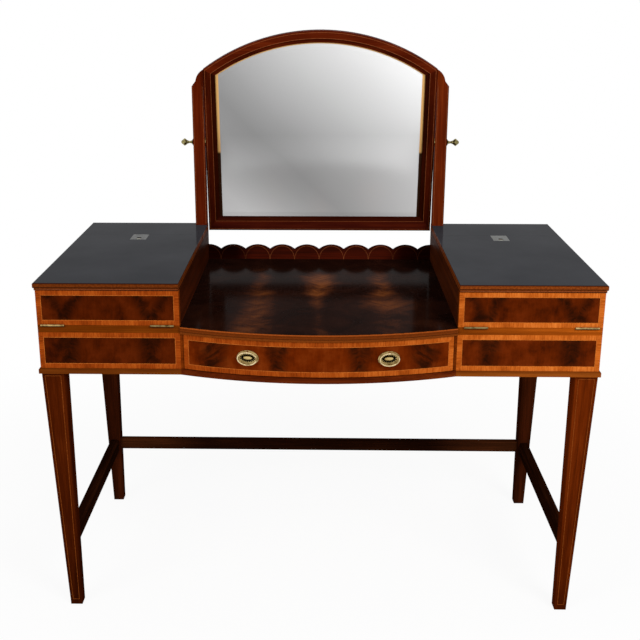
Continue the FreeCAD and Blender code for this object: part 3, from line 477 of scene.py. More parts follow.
# A plume: stem in metres from the middle, strength, lean of its streaks, the shares of the depth between
# which it fades, and its half width in millimetres at shares of the depth, counted from the back.
PLUMES = (
    (0.0, 0.85, 0.7, (0.5, 0.74), ((0.0, 80), (0.27, 76), (0.42, 58), (0.6, 34), (0.8, 20))),
    (-0.145, 0.52, 0.55, (0.9, 1.1), ((0.0, 44), (0.27, 44), (0.42, 44), (0.58, 70), (0.95, 80))),
    (0.155, 0.66, 0.8, (0.64, 0.86), ((0.0, 36), (0.3, 42), (0.48, 50), (0.62, 90), (0.8, 70))),
)
FADED_STRENGTH, STREAK_SCALE = 0.2, 22
print(len(PLUMES), "plumes planned")

# %% Well veneer
WELL_TONES = ((0.0, (24, 9, 5)), (0.2, (36, 16, 9)), (0.45, (66, 32, 15)), (0.9, (116, 62, 27)))
# The lip's light top stop is a painted highlight, and its dark stop below is a painted line of shade.
LIP_SHINE_AND_SHADE = (
    (0.0, (142, 68, 22)), (0.14, (142, 68, 22)), (0.2, (88, 36, 7)), (0.56, (100, 44, 10)),
    (0.66, (58, 22, 5)), (0.74, (104, 48, 12)))
LIP_START = 0.6 * MM
SHADE_SPAN, SHADE_LEVELS = (0.16, 0.3), (0.1, 1.0)
well_low, well_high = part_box("well_top")
well_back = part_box("gallery")[0].y
well_veneer, tree, shader = start_finish("flame_mahogany_well", specular=0.0024)
x, y, height = parts(tree, coordinates(tree))
behind = maths(tree, "DIVIDE", maths(tree, "SUBTRACT", well_back, y), well_back - well_low.y)
wander = maths(tree, "MULTIPLY_ADD", noise(tree, coordinates(tree), 7, 1.5), 0.05, -0.025)
across_well = maths(tree, "ADD", x, wander)
figure = None
for stem, strongest, lean, fade, widths in PLUMES:
    apart, streaks = feather(tree, across_well, y, stem, lean, STREAK_SCALE)
    width = ramp(tree, behind, *((share, [half * MM] * 3 + [1]) for share, half in widths))
    strength = spread(tree, behind, *fade, strongest, FADED_STRENGTH)
    lit_part = spread(tree, maths(tree, "DIVIDE", apart, width), 0.0, 1.0, strength, 0.0)
    plume = maths(tree, "MULTIPLY", lit_part, spread(tree, streaks, 0.3, 0.64, 0.35, 1.0))
    figure = plume if figure is None else maths(tree, "MAXIMUM", figure, plume)
figure = maths(tree, "MULTIPLY", figure, spread(tree, behind, *SHADE_SPAN, *SHADE_LEVELS))
cloud = noise(tree, coordinates(tree), 11, 4, 0.6, 0.6)
figure = maths(tree, "MULTIPLY_ADD", spread(tree, cloud, 0.35, 0.7), 0.22, figure)
pores = noise(tree, coordinates(tree, scale=(1, 0.05, 1)), 400, 2)
board = stained(tree, stirred(tree, pores, 0.16, figure), *WELL_TONES)
on_lip = maths(tree, "LESS_THAN", height, well_high.z - LIP_START)
drop = maths(tree, "DIVIDE", maths(tree, "SUBTRACT", well_high.z, height), well_high.z - well_low.z)
lip = scaled(tree, stained(tree, drop, *LIP_SHINE_AND_SHADE), spread(tree, pores, 0.3, 0.7, 0.85, 1.15))
skin(tree, shader, mixed(tree, on_lip, board, lip), pores, (0.1, 0.15), 0.02)
painted["well_top"] = well_veneer
print("well veneer over", round(well_high.x - well_low.x, 3), "m")

# %% [markdown]
# ## Uprights, gallery and mirror frame
# These parts are redder than the carcase, and the gallery's ends lie in the shade of the boxes. The mirror
# frame is one board section all round: a flat face outside and a darker moulding inside, next to the
# glass. The finish measures how far a point lies from the frame's outer edge in the mirror's own leaning
# plane, so the dark moulding follows the stiles, the arch and the bottom rail with one recipe.

# %% Mirror measures
LEAN = math.radians(6.5)
pivot = Vector(joints["mirror_tilt"]["pos_m"])
mirror_up = Vector((0, -math.sin(LEAN), math.cos(LEAN)))
mirror_out = Vector((0, -math.cos(LEAN), -math.sin(LEAN)))


def reach(name, direction):
    spans = [(vertex.co - pivot).dot(direction) for vertex in nodes[name].data.vertices]
    return min(spans), max(spans)


frame_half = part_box("mirror_right_stile")[1].x
frame_front = reach("mirror_right_stile", mirror_out)[1]
frame_bottom = reach("mirror_bottom_rail", mirror_up)[0]
frame_crest = reach("mirror_arch_rail", mirror_up)[1]
frame_spring = reach("mirror_right_stile", mirror_up)[1]
arch_rise = frame_crest - frame_spring
arch_radius = (frame_half ** 2 + arch_rise ** 2) / (2 * arch_rise)
arch_centre = frame_crest - arch_radius
print("mirror: half", frame_half, "crest", frame_crest, "spring", frame_spring, "arch radius", arch_radius)


# %% Frame finish
def from_edge(tree, outside_half, outside_radius, outside_bottom):
    """How far a point lies inside an arched outline in the mirror's plane, and where it lies there."""
    upright_pivot = Matrix.Rotation(-LEAN, 3, "X") @ pivot
    x, _, z = parts(tree, coordinates(tree, place=-upright_pivot, turned=(-LEAN, 0, 0)))
    rise = maths(tree, "SUBTRACT", z, arch_centre)
    squares = maths(tree, "ADD", maths(tree, "MULTIPLY", x, x), maths(tree, "MULTIPLY", rise, rise))
    side = maths(tree, "SUBTRACT", outside_half, maths(tree, "ABSOLUTE", x))
    top = maths(tree, "SUBTRACT", outside_radius, maths(tree, "SQRT", squares))
    bottom = maths(tree, "SUBTRACT", z, outside_bottom)
    return maths(tree, "MINIMUM", maths(tree, "MINIMUM", side, top), bottom), x, z


MOULDING_START, MOULDING_BLUR = 19 * MM, 0.4 * MM
BOTTOM_EXTRA = 7 * MM
STILE = ((37, 8, 1), (55, 13, 2), (74, 21, 5))
ARCH = ((53, 12, 2), (75, 20, 4), (98, 33, 9))
BOTTOM_RAIL = ((42, 9, 4), (60, 15, 7), (82, 26, 10))
# The uprights are shaded and lit copies of one wood: the right one is painted lighter, painted light from the
# right.
UPRIGHT_LEFT_SHADED = ((50, 10, 1), (72, 17, 2), (92, 28, 6))
UPRIGHT_RIGHT_LIT = ((68, 19, 4), (96, 31, 7), (120, 48, 13))
GALLERY = ((38, 10, 4), (56, 15, 6), (80, 22, 7))


def frame_wood(name, along, tones, shade=0.55):
    """Straight wood that is darker from the start of the inner moulding."""
    def deepen(tree, wood):
        inside, _, _ = from_edge(tree, frame_half, arch_radius, frame_bottom + BOTTOM_EXTRA)
        deep = spread(tree, inside, MOULDING_START - MOULDING_BLUR, MOULDING_START + MOULDING_BLUR)
        return mixed(tree, maths(tree, "MULTIPLY", deep, shade), wood, srgb(26, 6, 1))
    return repainted(straight_wood(name, tones, along, gloss=(0.2, 0.34), specular=0.002), deepen)


stile_wood = frame_wood("frame_mahogany_stile", "z", STILE)
painted.update(mirror_left_stile=stile_wood, mirror_right_stile=stile_wood)
painted["mirror_arch_rail"] = frame_wood("frame_mahogany_arch", "x", ARCH, 0.15)
painted["mirror_bottom_rail"] = frame_wood("frame_mahogany_bottom", "x", BOTTOM_RAIL)
painted["left_upright"] = straight_wood("upright_mahogany_left_shaded", UPRIGHT_LEFT_SHADED, "z", gloss=POLISHED)
painted["right_upright"] = straight_wood("upright_mahogany_right_lit", UPRIGHT_RIGHT_LIT, "z", gloss=POLISHED)
gallery_wood = straight_wood("gallery_mahogany", GALLERY, "x", gloss=POLISHED)
painted["gallery"] = tinted(gallery_wood, (0.17, 0.23), (1.0, 0.22))
print("frame, uprights and gallery finished")

# %% [markdown]
# ## The mirror plate
# The plate is old silvered glass, and a painted reflection lies in its colour: a soft grey picture of
# the room, lighter towards the upper right, with a narrow lit edge that is golden above and dark below,
# also painted. A perfect mirror would show only the white room, so the plate is part metal and part
# dull, and the grey is a painted reflection; the lit edge is measured from the frame's inner outline.
# It runs up the sides and over the arch, and there is none along the bottom.

# %% Mirror finish
GLASS_SIDE, GLASS_ARCH, BELOW_FRAME = 30 * MM, 25.5 * MM, 37 * MM
LIT_EDGE, GOLDEN_SPAN = 7.5 * MM, (-0.032, -0.024)
REFLECTED_ROOM_GREYS = ((0.12, 178), (0.24, 156), (0.3, 147), (0.36, 142), (0.45, 157), (0.6, 186), (0.77, 217), (0.93, 245))
silver, tree, shader = start_finish("silvered_glass", specular=0.2, metallic=0.3)
inside, x, z = from_edge(tree, frame_half - GLASS_SIDE, arch_radius - GLASS_ARCH, frame_bottom - BELOW_FRAME)
haze = noise(tree, coordinates(tree), 3, 2)
slope = stirred(tree, haze, 0.06, maths(tree, "ADD", z, x))
# Painted reflection: the grey gradient, the lighter lower part and the golden lit edge are painted into the plate's
# colour.
greys = ((position, (tone, tone, tone)) for position, tone in REFLECTED_ROOM_GREYS)
grey = stained(tree, maths(tree, "ADD", slope, 0.5), *greys)
lower_light = maths(tree, "MAXIMUM", maths(tree, "MULTIPLY_ADD", z, -4.5, 1.08), 1.0)
golden = stained(tree, spread(tree, z, *GOLDEN_SPAN), (0.0, (52, 28, 14)), (1.0, (214, 164, 98)))
at_edge = maths(tree, "LESS_THAN", inside, LIT_EDGE)
feed(tree, shader.inputs["Base Color"], mixed(tree, at_edge, scaled(tree, grey, lower_light), golden))
feed(tree, shader.inputs["Roughness"], spread(tree, haze, 0.3, 0.7, 0.12, 0.2))
painted["mirror_glass"] = silver
print("mirror plate finished")

# %% [markdown]
# ## Brass
# Hinges, bolts, pulls and knobs are old lacquered brass: yellow metal with brown tarnish that gathers in
# patches and dulls the shine. One recipe takes two colours and a gloss, from the polished rings to the
# dark struck ovals of the pulls. The knobs are bright only where they are rubbed, so their colour changes
# to brown tarnish below a level, which is plainer than painting a mask. The hinges take the same step as
# painted light: a painted highlight along the top of the knuckle and painted shade below it. The left
# bolt plate and the hinges next to the well are duller than the others, so both finishes are tinted
# across the table.


# %% Brass finishes
def brass_finish(name, bright, dull, gloss):
    material, tree, shader = start_finish(name, metallic=1.0, specular=0.5)
    patches = noise(tree, coordinates(tree), 90, 4, 0.6, 0.4)
    scratches = noise(tree, coordinates(tree), 900, 2)
    pattern = weighed(tree, scratches, 0.3, patches, 0.7)
    colour = stained(tree, pattern, (0.36, dull), (0.56, bright))
    skin(tree, shader, colour, pattern, gloss, 0.05)
    return material


def tarnish_and_sheen(name, bright, dull, low, high, coordinate):
    """Brass that is bright only above a level of one coordinate, taken without its sign, and brown below it:
    tarnish on the knobs, a painted highlight over painted shade on the hinges.
    """
    def darken_below(tree, metal):
        level = maths(tree, "ABSOLUTE", parts(tree, coordinates(tree))[coordinate])
        return mixed(tree, spread(tree, level, low, high), srgb(46, 26, 10), metal)
    return repainted(brass_finish(name, bright, dull, (0.25, 0.4)), darken_below)


brass = brass_finish("lacquered_brass", (214, 190, 128), (150, 120, 62), (0.2, 0.34))
dark_brass = brass_finish("tarnished_brass", (22, 14, 4), (12, 7, 2), (0.4, 0.55))
dull_brass = brass_finish("dulled_brass", (72, 73, 67), (40, 41, 38), (0.3, 0.45))
thumb_brass = brass_finish("thumbed_brass", (124, 122, 98), (76, 74, 56), (0.2, 0.34))
bright_brass = brass_finish("polished_brass", (236, 214, 166), (146, 118, 68), (0.16, 0.3))
struck_brass = brass_finish("struck_brass", (204, 180, 124), (128, 104, 56), (0.3, 0.45))
hinge_line = joints["left_cover_open"]["pos_m"][2]
# The hinges are painted bright only above the hinge line, a painted highlight, and brown below it, painted shade.
HINGE_PAINTED_SHINE = (hinge_line - 1.2 * MM, hinge_line + 0.2 * MM)
KNOB_SHINE = (331.5 * MM, 333 * MM)
hinge_brass = tarnish_and_sheen("hinge_brass_painted_sheen", (206, 178, 120), (96, 72, 34), *HINGE_PAINTED_SHINE, 2)
knob_brass = tarnish_and_sheen("tarnished_knob_brass", (168, 156, 104), (66, 58, 28), *KNOB_SHINE, 0)
tinted(dull_brass, (-0.3, 0.3), (0.36, 1.0), signed=True)
tinted(hinge_brass, (0.4, 0.5), (0.55, 1.0))
print("brass finishes ready")

# %% Painting the nodes
painted.update(hinge_fixed_leaves=hinge_brass, pivot_washers=brass, pull_plates=brass)
for side in SIDES:
    painted[side + "_bolt"] = thumb_brass
    painted[side + "_bolt_plate"] = dull_brass
    painted[side + "_hinge_moving_leaves"] = hinge_brass
    painted[side + "_pivot_knob"] = painted[side + "_pull_ring"] = brass
for name, material in painted.items():
    for material_slot in nodes[name].material_slots:
        material_slot.material = material
print("painted", len(painted), "of", len(nodes), "nodes; left", sorted(set(nodes) - set(painted)))

# %% [markdown]
# ## Adding pieces
# Every new piece is a closed mesh with its place in its vertices. One function merges doubles, turns the
# faces outwards, gives the piece its finishes, ties it to the CAD body that carries it and reports.


# %% Piece helpers
def settled(work, name):
    """Keeps a mesh under work as a mesh of its own."""
    mesh = bpy.data.meshes.new(name)
    work.to_mesh(mesh)
    work.free()
    return mesh


def piece(name, mesh, body, materials=(), smooth=False, merge=True):
    work = bmesh.new()
    work.from_mesh(mesh)
    if merge:
        bmesh.ops.remove_doubles(work, verts=work.verts, dist=1e-7)
    bmesh.ops.recalc_face_normals(work, faces=work.faces)
    for face in work.faces:
        face.smooth = smooth
    open_edges = sum(not edge.is_manifold for edge in work.edges)
    work.to_mesh(mesh)
    work.free()
    for material in materials:
        mesh.materials.append(material)
    obj = bpy.data.objects.new(name, mesh)
    scene.collection.objects.link(obj)
    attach(obj, body)
    print(name, "on", body, "-", len(mesh.polygons), "faces, open edges", open_edges)
    return obj


print("piece helpers ready")

# %% [markdown]
# ## Veneered fronts
# The fall fronts, aprons and drawer show the table's best work: a field of dark flame mahogany, framed
# by a thin pale line and a mitred orange crossband whose grain runs across the band. Each is a thin
# sheet of veneer strips, laid flat or bent to the drawer's bow. Every strip gets its own flat map in
# metres, so that the grain follows the strip and not the table. Strips only touch, so their doubles
# aren't merged: each stays a closed sheet.

# %% Band and lines
band_wood, tree, shader = start_finish("satinwood_crossband", specular=0.002)
ribs = noise(tree, coordinates(tree, "UV", scale=(1.0, 0.06, 1.0)), 700, 3, 0.6)
cloud = noise(tree, coordinates(tree, "UV", scale=(1, 0.5, 1)), 26, 3)
figure = weighed(tree, ribs, 0.55, cloud, 0.45)
# The band is painted lighter towards the right of the table: painted light from the lamp side.
band_lit = stained(tree, figure, *zip(TONE_STOPS, ((126, 54, 8), (176, 86, 24), (206, 114, 44))))
band_shaded = stained(tree, figure, *zip(TONE_STOPS, ((96, 36, 5), (136, 56, 11), (166, 80, 22))))
rightward = spread(tree, parts(tree, coordinates(tree))[0], -0.1, 0.5)
skin(tree, shader, mixed(tree, rightward, band_shaded, band_lit), ribs, (0.28, 0.4), 0.08)


def line_finish(name, dark, light):
    material, tree, shader = start_finish(name, specular=0.002)
    fleck = noise(tree, coordinates(tree), 300, 2)
    skin(tree, shader, stained(tree, fleck, (0.35, dark), (0.65, light)), fleck, (0.3, 0.42), 0.03)
    return material


DARKENED = ((112, 56, 28), (144, 78, 44))
line_wood = line_finish("boxwood_line", (150, 76, 26), (184, 102, 40))
faded_line = line_finish("darkened_line", *DARKENED)
gallery_line = tinted(line_finish("gallery_line", *DARKENED), (0.15, 0.22), (0.9, 0.25))
leg_line = line_finish("warm_line", (118, 56, 18), (150, 78, 30))
print("band and lines ready")

# %% Flame fields
PLUME_FOOT = 28 * MM
FLAME_STOPS = (0.3, 0.46, 0.62)


def flame_field(name, tones, *plumes):
    """Flame veneer with dark plumes: each is (distance from the middle, half width, opening)."""
    material, tree, shader = start_finish(name, specular=0.002)
    u, v, _ = parts(tree, coordinates(tree, "UV"))
    drift = noise(tree, coordinates(tree), 30, 4)
    bent = stirred(tree, drift, 0.04, maths(tree, "ABSOLUTE", u))
    dark = None
    for stem, width, opening in plumes:
        apart = maths(tree, "ABSOLUTE", maths(tree, "SUBTRACT", bent, stem))
        arm = maths(tree, "MULTIPLY_ADD", maths(tree, "ADD", v, PLUME_FOOT), -opening, apart)
        one = spread(tree, maths(tree, "ABSOLUTE", arm), 0.0, width, 1.0, 0.0)
        dark = one if dark is None else maths(tree, "MAXIMUM", dark, one)
    _, streaks = feather(tree, bent, v, plumes[0][0], -0.7, 60)
    lines = noise(tree, coordinates(tree, "UV", scale=(1.0, 0.12, 1.0)), 240, 3, 0.6)
    wood = stained(tree, weighed(tree, lines, 0.2, drift, 0.75), *zip(FLAME_STOPS, tones))
    dark = maths(tree, "MULTIPLY", dark, spread(tree, streaks, 0.32, 0.62, 0.42, 0.9))
    skin(tree, shader, mixed(tree, dark, wood, srgb(26, 9, 3)), lines, (0.26, 0.36), 0.05)
    return material


BOX_FLAME = ((50, 14, 2), (76, 24, 2), (92, 32, 5))
DRAWER_FLAME = ((70, 20, 1), (92, 30, 2), (108, 42, 8))
box_field = flame_field("flame_mahogany_box", BOX_FLAME, (0.095, 0.024, 0.55))
apron_field = flame_field("flame_mahogany_apron", BOX_FLAME, (0.088, 0.032, 0.12))
drawer_field = flame_field("flame_mahogany_drawer", DRAWER_FLAME, (0.088, 0.03, 0.2), (0.23, 0.042, 0.25))
# Painted light: the box and apron fields are painted lighter towards the right, the lamp side.
tinted(box_field, (-0.3, 0.3), (0.72, 1.0), signed=True)
tinted(apron_field, (-0.3, 0.3), (0.77, 1.15), signed=True)
print("flame fields ready")

# %% Veneer sheets
BAND, LINE = 10.6 * MM, 1.0 * MM
PROUD, SUNK = 0.2 * MM, -0.3 * MM


def strip(work, maps, ends, columns, lay, finish, along):
    """A closed thin strip between four corners, in steps from its first end to its second."""
    low_a, high_a, low_b, high_b = (Vector(corner) for corner in ends)
    rings = []
    for step in range(columns + 1):
        share = step / columns
        low, high = low_a.lerp(low_b, share), high_a.lerp(high_b, share)
        section = ((low, PROUD), (high, PROUD), (high, SUNK), (low, SUNK))
        rings.append([(work.verts.new(lay(*at, lift)), at) for at, lift in section])
    faces = [rings[0], rings[-1]]
    for one, two in zip(rings, rings[1:]):
        faces += [(one[k], one[(k + 1) % 4], two[(k + 1) % 4], two[k]) for k in range(4)]
    for corners in faces:
        face = work.faces.new([corner[0] for corner in corners])
        face.material_index = finish
        for loop, corner in zip(face.loops, corners):
            loop[maps].uv = corner[1] if along == "u" else (corner[1].y, corner[1].x)


def veneered_front(name, body, half, half_high, lay, field, columns):
    """Band, line and field, from a front's edges to its middle; lay puts the flat sheet in its place."""
    work = bmesh.new()
    maps = work.loops.layers.uv.new("flat")
    low, high = -half_high, half_high
    insets = (0.0, BAND, BAND + LINE)
    for finish, (edge, inner) in enumerate(zip(insets, insets[1:])):
        for v_edge, v_inner in ((low + edge, low + inner), (high - edge, high - inner)):
            ends = ((edge - half, v_edge), (inner - half, v_inner), (half - edge, v_edge), (half - inner, v_inner))
            strip(work, maps, ends, columns, lay, finish, "u")
        for sign in SIDES.values():
            u_edge, u_inner = sign * (half - edge), sign * (half - inner)
            ends = ((u_edge, low + edge), (u_inner, low + inner), (u_edge, high - edge), (u_inner, high - inner))
            strip(work, maps, ends, 1, lay, finish, "v")
    side, foot, head = half - insets[-1], low + insets[-1], high - insets[-1]
    strip(work, maps, ((-side, foot), (-side, head), (side, foot), (side, head)), columns, lay, 2, "u")
    return piece(name, settled(work, name), body, (band_wood, line_wood, field), merge=False)


print("veneer sheets ready")


# %% Flat fronts
def flat_lay(middle, face, mid_height):
    return lambda u, v, lift: Vector((middle + u, face - lift, mid_height + v))


for side in SIDES:
    for part, body, field in (("_apron", "table", apron_field), ("_fall_front", side + "_cover", box_field)):
        low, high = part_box(side + part)
        middle, size = (low + high) / 2, high - low
        lay = flat_lay(middle.x, low.y, middle.z)
        veneered_front(side + part + "_veneer", body, size.x / 2, size.z / 2, lay, field, 1)

# %% Bowed front
BOW_COLUMNS = 48
front_low, front_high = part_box("drawer_front")
bow = lid_low.y - well_low.y
bow_radius = (well_high.x ** 2 + bow ** 2) / (2 * bow)
bow_centre = well_low.y + bow_radius
face_radius = bow_centre - front_low.y
front_mid = (front_low.z + front_high.z) / 2


def bow_lay(u, v, lift):
    angle, radius = u / face_radius, face_radius + lift
    return Vector((radius * math.sin(angle), bow_centre - radius * math.cos(angle), front_mid + v))


half_arc = face_radius * math.asin(front_high.x / face_radius)
half_high = (front_high.z - front_low.z) / 2
veneered_front("drawer_front_veneer", "drawer", half_arc, half_high, bow_lay, drawer_field, BOW_COLUMNS)
print("bow radius", round(bow_radius, 4), "face radius", round(face_radius, 4))

# %% [markdown]
# ## Inlaid lines
# Boxwood lines run down the legs and uprights, round the mirror frame and under the lids' edges. Most have
# darkened under old polish, and those on the legs are warmer. A line is a path with a facing, so one
# Geometry Nodes tree serves them all: it turns the edges of a wire mesh into curves, keeps the section
# square to the wood by the stored facing, and sweeps a thin rectangle along them.


# %% Tree helpers
def new_tree(name, *inputs):
    tree = bpy.data.node_groups.new(name, "GeometryNodeTree")
    tree.interface.new_socket(name="Geometry", in_out="INPUT", socket_type="NodeSocketGeometry")
    for label, kind, value in inputs:
        socket = tree.interface.new_socket(name=label, in_out="INPUT", socket_type="NodeSocket" + kind)
        if value is not None:
            socket.default_value = value
    tree.interface.new_socket(name="Geometry", in_out="OUTPUT", socket_type="NodeSocketGeometry")
    return tree, add(tree, "NodeGroupInput").outputs


def end_tree(tree, geometry, material):
    real = wired(tree, "GeometryNodeRealizeInstances", {"Geometry": geometry})
    paint = wired(tree, "GeometryNodeSetMaterial", {"Geometry": real, "Material": material})
    feed(tree, add(tree, "NodeGroupOutput").inputs[0], paint)
    print("tree", tree.name, "has", len(tree.nodes), "nodes")


def grown(name, mesh, tree, **settings):
    """Runs a tree on a mesh and keeps what it makes as a plain mesh."""
    holder = bpy.data.objects.new(name, mesh)
    scene.collection.objects.link(holder)
    modifier = holder.modifiers.new(name, "NODES")
    modifier.node_group = tree
    for item in tree.interface.items_tree:
        if item.in_out == "INPUT" and item.name in settings:
            modifier[item.identifier] = settings[item.name]
    graph = bpy.context.evaluated_depsgraph_get()
    ready = holder.evaluated_get(graph)
    made = bpy.data.meshes.new_from_object(ready, preserve_all_data_layers=True, depsgraph=graph)
    made.name = name
    bpy.data.objects.remove(holder)
    return made


def swept(tree, path, facing, width, depth):
    """A thin rectangle along a path, with its depth held along the facing."""
    held = wired(tree, "GeometryNodeSetCurveNormal", {"Curve": path, "Normal": facing}, mode="FREE")
    section = wired(tree, "GeometryNodeCurvePrimitiveQuadrilateral", {"Width": depth, "Height": width})
    inputs = {"Curve": held, "Profile Curve": section, "Fill Caps": True}
    return wired(tree, "GeometryNodeCurveToMesh", inputs)


print("tree helpers ready")

# %% Line tree
LINE_WIDTH, LINE_DEPTH = 1.0 * MM, 0.6 * MM
LINE_SIZES = (("Width", "Float", LINE_WIDTH), ("Depth", "Float", LINE_DEPTH), ("Finish", "Material", None))
line_tree, given = new_tree("inlaid_line", *LINE_SIZES)
curves = wired(line_tree, "GeometryNodeMeshToCurve", {"Mesh": given["Geometry"]})
facing = wired(line_tree, "GeometryNodeInputNamedAttribute", {"Name": "facing"}, data_type="FLOAT_VECTOR")
end_tree(line_tree, swept(line_tree, curves, facing, given["Width"], given["Depth"]), given["Finish"])


def inlay(name, body, paths, width=LINE_WIDTH, finish=faded_line):
    """Paths are (points, facing, closed)."""
    points, facings, edges = [], [], []
    for path, outward, closed in paths:
        start = len(points)
        points += path
        facings += [outward] * len(path)
        edges += [(start + k, start + k + 1) for k in range(len(path) - 1)]
        if closed:
            edges.append((start + len(path) - 1, start))
    wire = bpy.data.meshes.new(name)
    wire.from_pydata(points, edges, [])
    stored = wire.attributes.new("facing", "FLOAT_VECTOR", "POINT")
    for item, outward in zip(stored.data, facings):
        item.vector = outward
    mesh = grown(name, wire, line_tree, Width=width, Depth=LINE_DEPTH, Finish=finish)
    return piece(name, mesh, body)


# %% Lines on the legs
LEG_INSET, LEG_TOP, LEG_END = 6.5 * MM, 588 * MM, 14 * MM
TOUCH = 0.1 * MM
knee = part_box("left_base_board")[0].z


def leg_outline(name, height):
    """The leg's four sides at a height: low and high x, low and high y."""
    feet = [vertex.co for vertex in nodes[name].data.vertices if vertex.co.z < TOUCH]
    low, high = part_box(name)
    share = min(1.0, height / knee)
    foot = (min(v.x for v in feet), max(v.x for v in feet), min(v.y for v in feet), max(v.y for v in feet))
    return [a + (b - a) * share for a, b in zip(foot, (low.x, high.x, low.y, high.y))]


def leg_face(name, outward):
    """A rectangle of line, inset from the edges of one tapering face."""
    path = []
    for height, ends in ((LEG_END, (0, 1)), (LEG_TOP, (1, 0))):
        x_low, x_high, y_low, y_high = leg_outline(name, height)
        if outward.y:
            sides = (Vector((x_low + LEG_INSET, y_low, height)), Vector((x_high - LEG_INSET, y_low, height)))
        else:
            face = x_high if outward.x > 0 else x_low
            sides = (Vector((face, y_low + LEG_INSET, height)), Vector((face, y_high - LEG_INSET, height)))
        path += [sides[k] for k in ends]
    return path, outward, True


leg_lines = []
for side, sign in SIDES.items():
    name = side + "_front_leg"
    leg_lines += [leg_face(name, FORWARD), leg_face(name, Vector((sign, 0, 0)))]
inlay("leg_lines", "table", leg_lines, finish=leg_line)

# %% Lines on the uprights
UPRIGHT_INSET, UPRIGHT_FOOT, UPRIGHT_TOP = 2.8 * MM, 3 * MM, 1163 * MM
UPRIGHT_LINE = 1.1 * MM
upright_lines = []
for side in SIDES:
    low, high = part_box(side + "_upright")
    for x in (low.x + UPRIGHT_INSET, high.x - UPRIGHT_INSET):
        ends = [Vector((x, low.y, height)) for height in (lid_high.z + UPRIGHT_FOOT, UPRIGHT_TOP)]
        upright_lines.append((ends, FORWARD, False))
inlay("upright_lines", "table", upright_lines, UPRIGHT_LINE)

# %% Lines on the mirror frame
OUTER_LINE = 4.5 * MM
ARCH_STEPS = 40


def mirror_point(x, z):
    return pivot + mirror_up * z + mirror_out * frame_front + Vector((x, 0, 0))


def arched(inset, bottom_extra=0.0):
    """The frame's outline, moved in by inset."""
    half, radius = frame_half - inset, arch_radius - inset
    spring = math.asin(half / radius)
    path = [mirror_point(x, frame_bottom + inset + bottom_extra) for x in (-half, half)]
    for step in range(ARCH_STEPS + 1):
        angle = spring * (1 - 2 * step / ARCH_STEPS)
        path.append(mirror_point(radius * math.sin(angle), arch_centre + radius * math.cos(angle)))
    return path, mirror_out, True


inlay("mirror_frame_lines", "mirror", [arched(OUTER_LINE), arched(MOULDING_START, BOTTOM_EXTRA)])

# %% Lines under the lid edges
LID_LINE_RISE, LID_LINE_START, LID_LINE_STOP = 2.6 * MM, 299.5 * MM, 1 * MM
for side, sign in SIDES.items():
    low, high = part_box(side + "_lid")
    underside = [v.co for v in nodes[side + "_lid"].data.vertices if v.co.z < low.z + TOUCH]
    step_front, step_side = min(v.y for v in underside), sign * max(abs(v.x) for v in underside)
    height = low.z + LID_LINE_RISE
    corner = Vector((step_side, step_front, height))
    front = [Vector((sign * LID_LINE_START, step_front, height)), corner]
    flank = [corner, Vector((step_side, high.y - LID_LINE_STOP, height))]
    inlay(side + "_lid_lines", side + "_cover", [(front, FORWARD, False), (flank, Vector((sign, 0, 0)), False)])

# %% [markdown]
# ## The gallery's arcs
# A low scalloped gallery closes the back of the well, and a pale arc is inlaid under each scallop. The
# arcs are one shape at an even pitch, so a tree makes one arc, sets an instance on each point of a line
# and lets whole arcs and the half arcs at both ends share the recipe. Their line fades into the shade at
# the gallery's ends, as its wood does.

# %% Gallery tree
QUARTER = math.pi / 2
arc_tree, given = new_tree(
    "gallery_arcs", ("Count", "Int", 8), ("Start", "Vector", None), ("Pitch", "Vector", None),
    ("Radius", "Float", 1.0), ("Stretch", "Vector", None), ("From", "Float", 0.0), ("Sweep", "Float", math.pi),
    *LINE_SIZES)
inputs = {"Count": given["Count"], "Start Location": given["Start"], "Offset": given["Pitch"]}
spots = wired(arc_tree, "GeometryNodeMeshLine", inputs, mode="OFFSET")
inputs = {"Radius": given["Radius"], "Start Angle": given["From"], "Sweep Angle": given["Sweep"]}
arc = wired(arc_tree, "GeometryNodeCurveArc", {"Resolution": 25, **inputs}, mode="RADIUS")
standing = wired(arc_tree, "GeometryNodeTransform", {"Geometry": arc, "Rotation": (QUARTER, 0, 0)})
stretched = wired(arc_tree, "GeometryNodeTransform", {"Geometry": standing, "Scale": given["Stretch"]})
arc_line = swept(arc_tree, stretched, FORWARD, given["Width"], given["Depth"])
copies = wired(arc_tree, "GeometryNodeInstanceOnPoints", {"Points": spots, "Instance": arc_line})
end_tree(arc_tree, copies, given["Finish"])

# %% Gallery arcs
PITCHES = 9
ARC_DROP, ARC_GAP = 2.8 * MM, 0.5 * MM
ARC_SETS = (
    ("whole", PITCHES - 1, 1, 0.0, 2 * QUARTER), ("left_end", 1, 0, 0.0, QUARTER),
    ("right_end", 1, PITCHES, QUARTER, QUARTER))
gallery_low, gallery_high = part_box("gallery")
pitch = (gallery_high.x - gallery_low.x) / PITCHES
arc_radius = pitch / 2 - ARC_GAP
arc_height = gallery_high.z - ARC_DROP - gallery_low.z
for label, count, first, start, sweep in ARC_SETS:
    name = "gallery_arcs_" + label
    at = (gallery_low.x + first * pitch, gallery_low.y, gallery_low.z)
    mesh = grown(
        name, bpy.data.meshes.new(name), arc_tree, Count=count, Start=at, Pitch=(pitch, 0, 0), Radius=arc_radius,
        Stretch=(1, 1, arc_height / arc_radius), From=start, Sweep=sweep, Width=LINE_WIDTH, Depth=LINE_DEPTH,
        Finish=gallery_line)
    piece(name, mesh, "table")

# %% [markdown]
# ## The drawer pulls
# Each pull is a stamped oval plate with a rolled, beaded rim, a dark struck oval with bright rays, a
# raised boss, and a lug with a ball end at the top, from which an oval ring hangs. Plate, oval, boss and
# lug are lofted through oval rings, because every section of them is an oval. The rays and beads repeat
# round an oval, so a tree sets small balls on it, each turned to its own radius and drawn out.


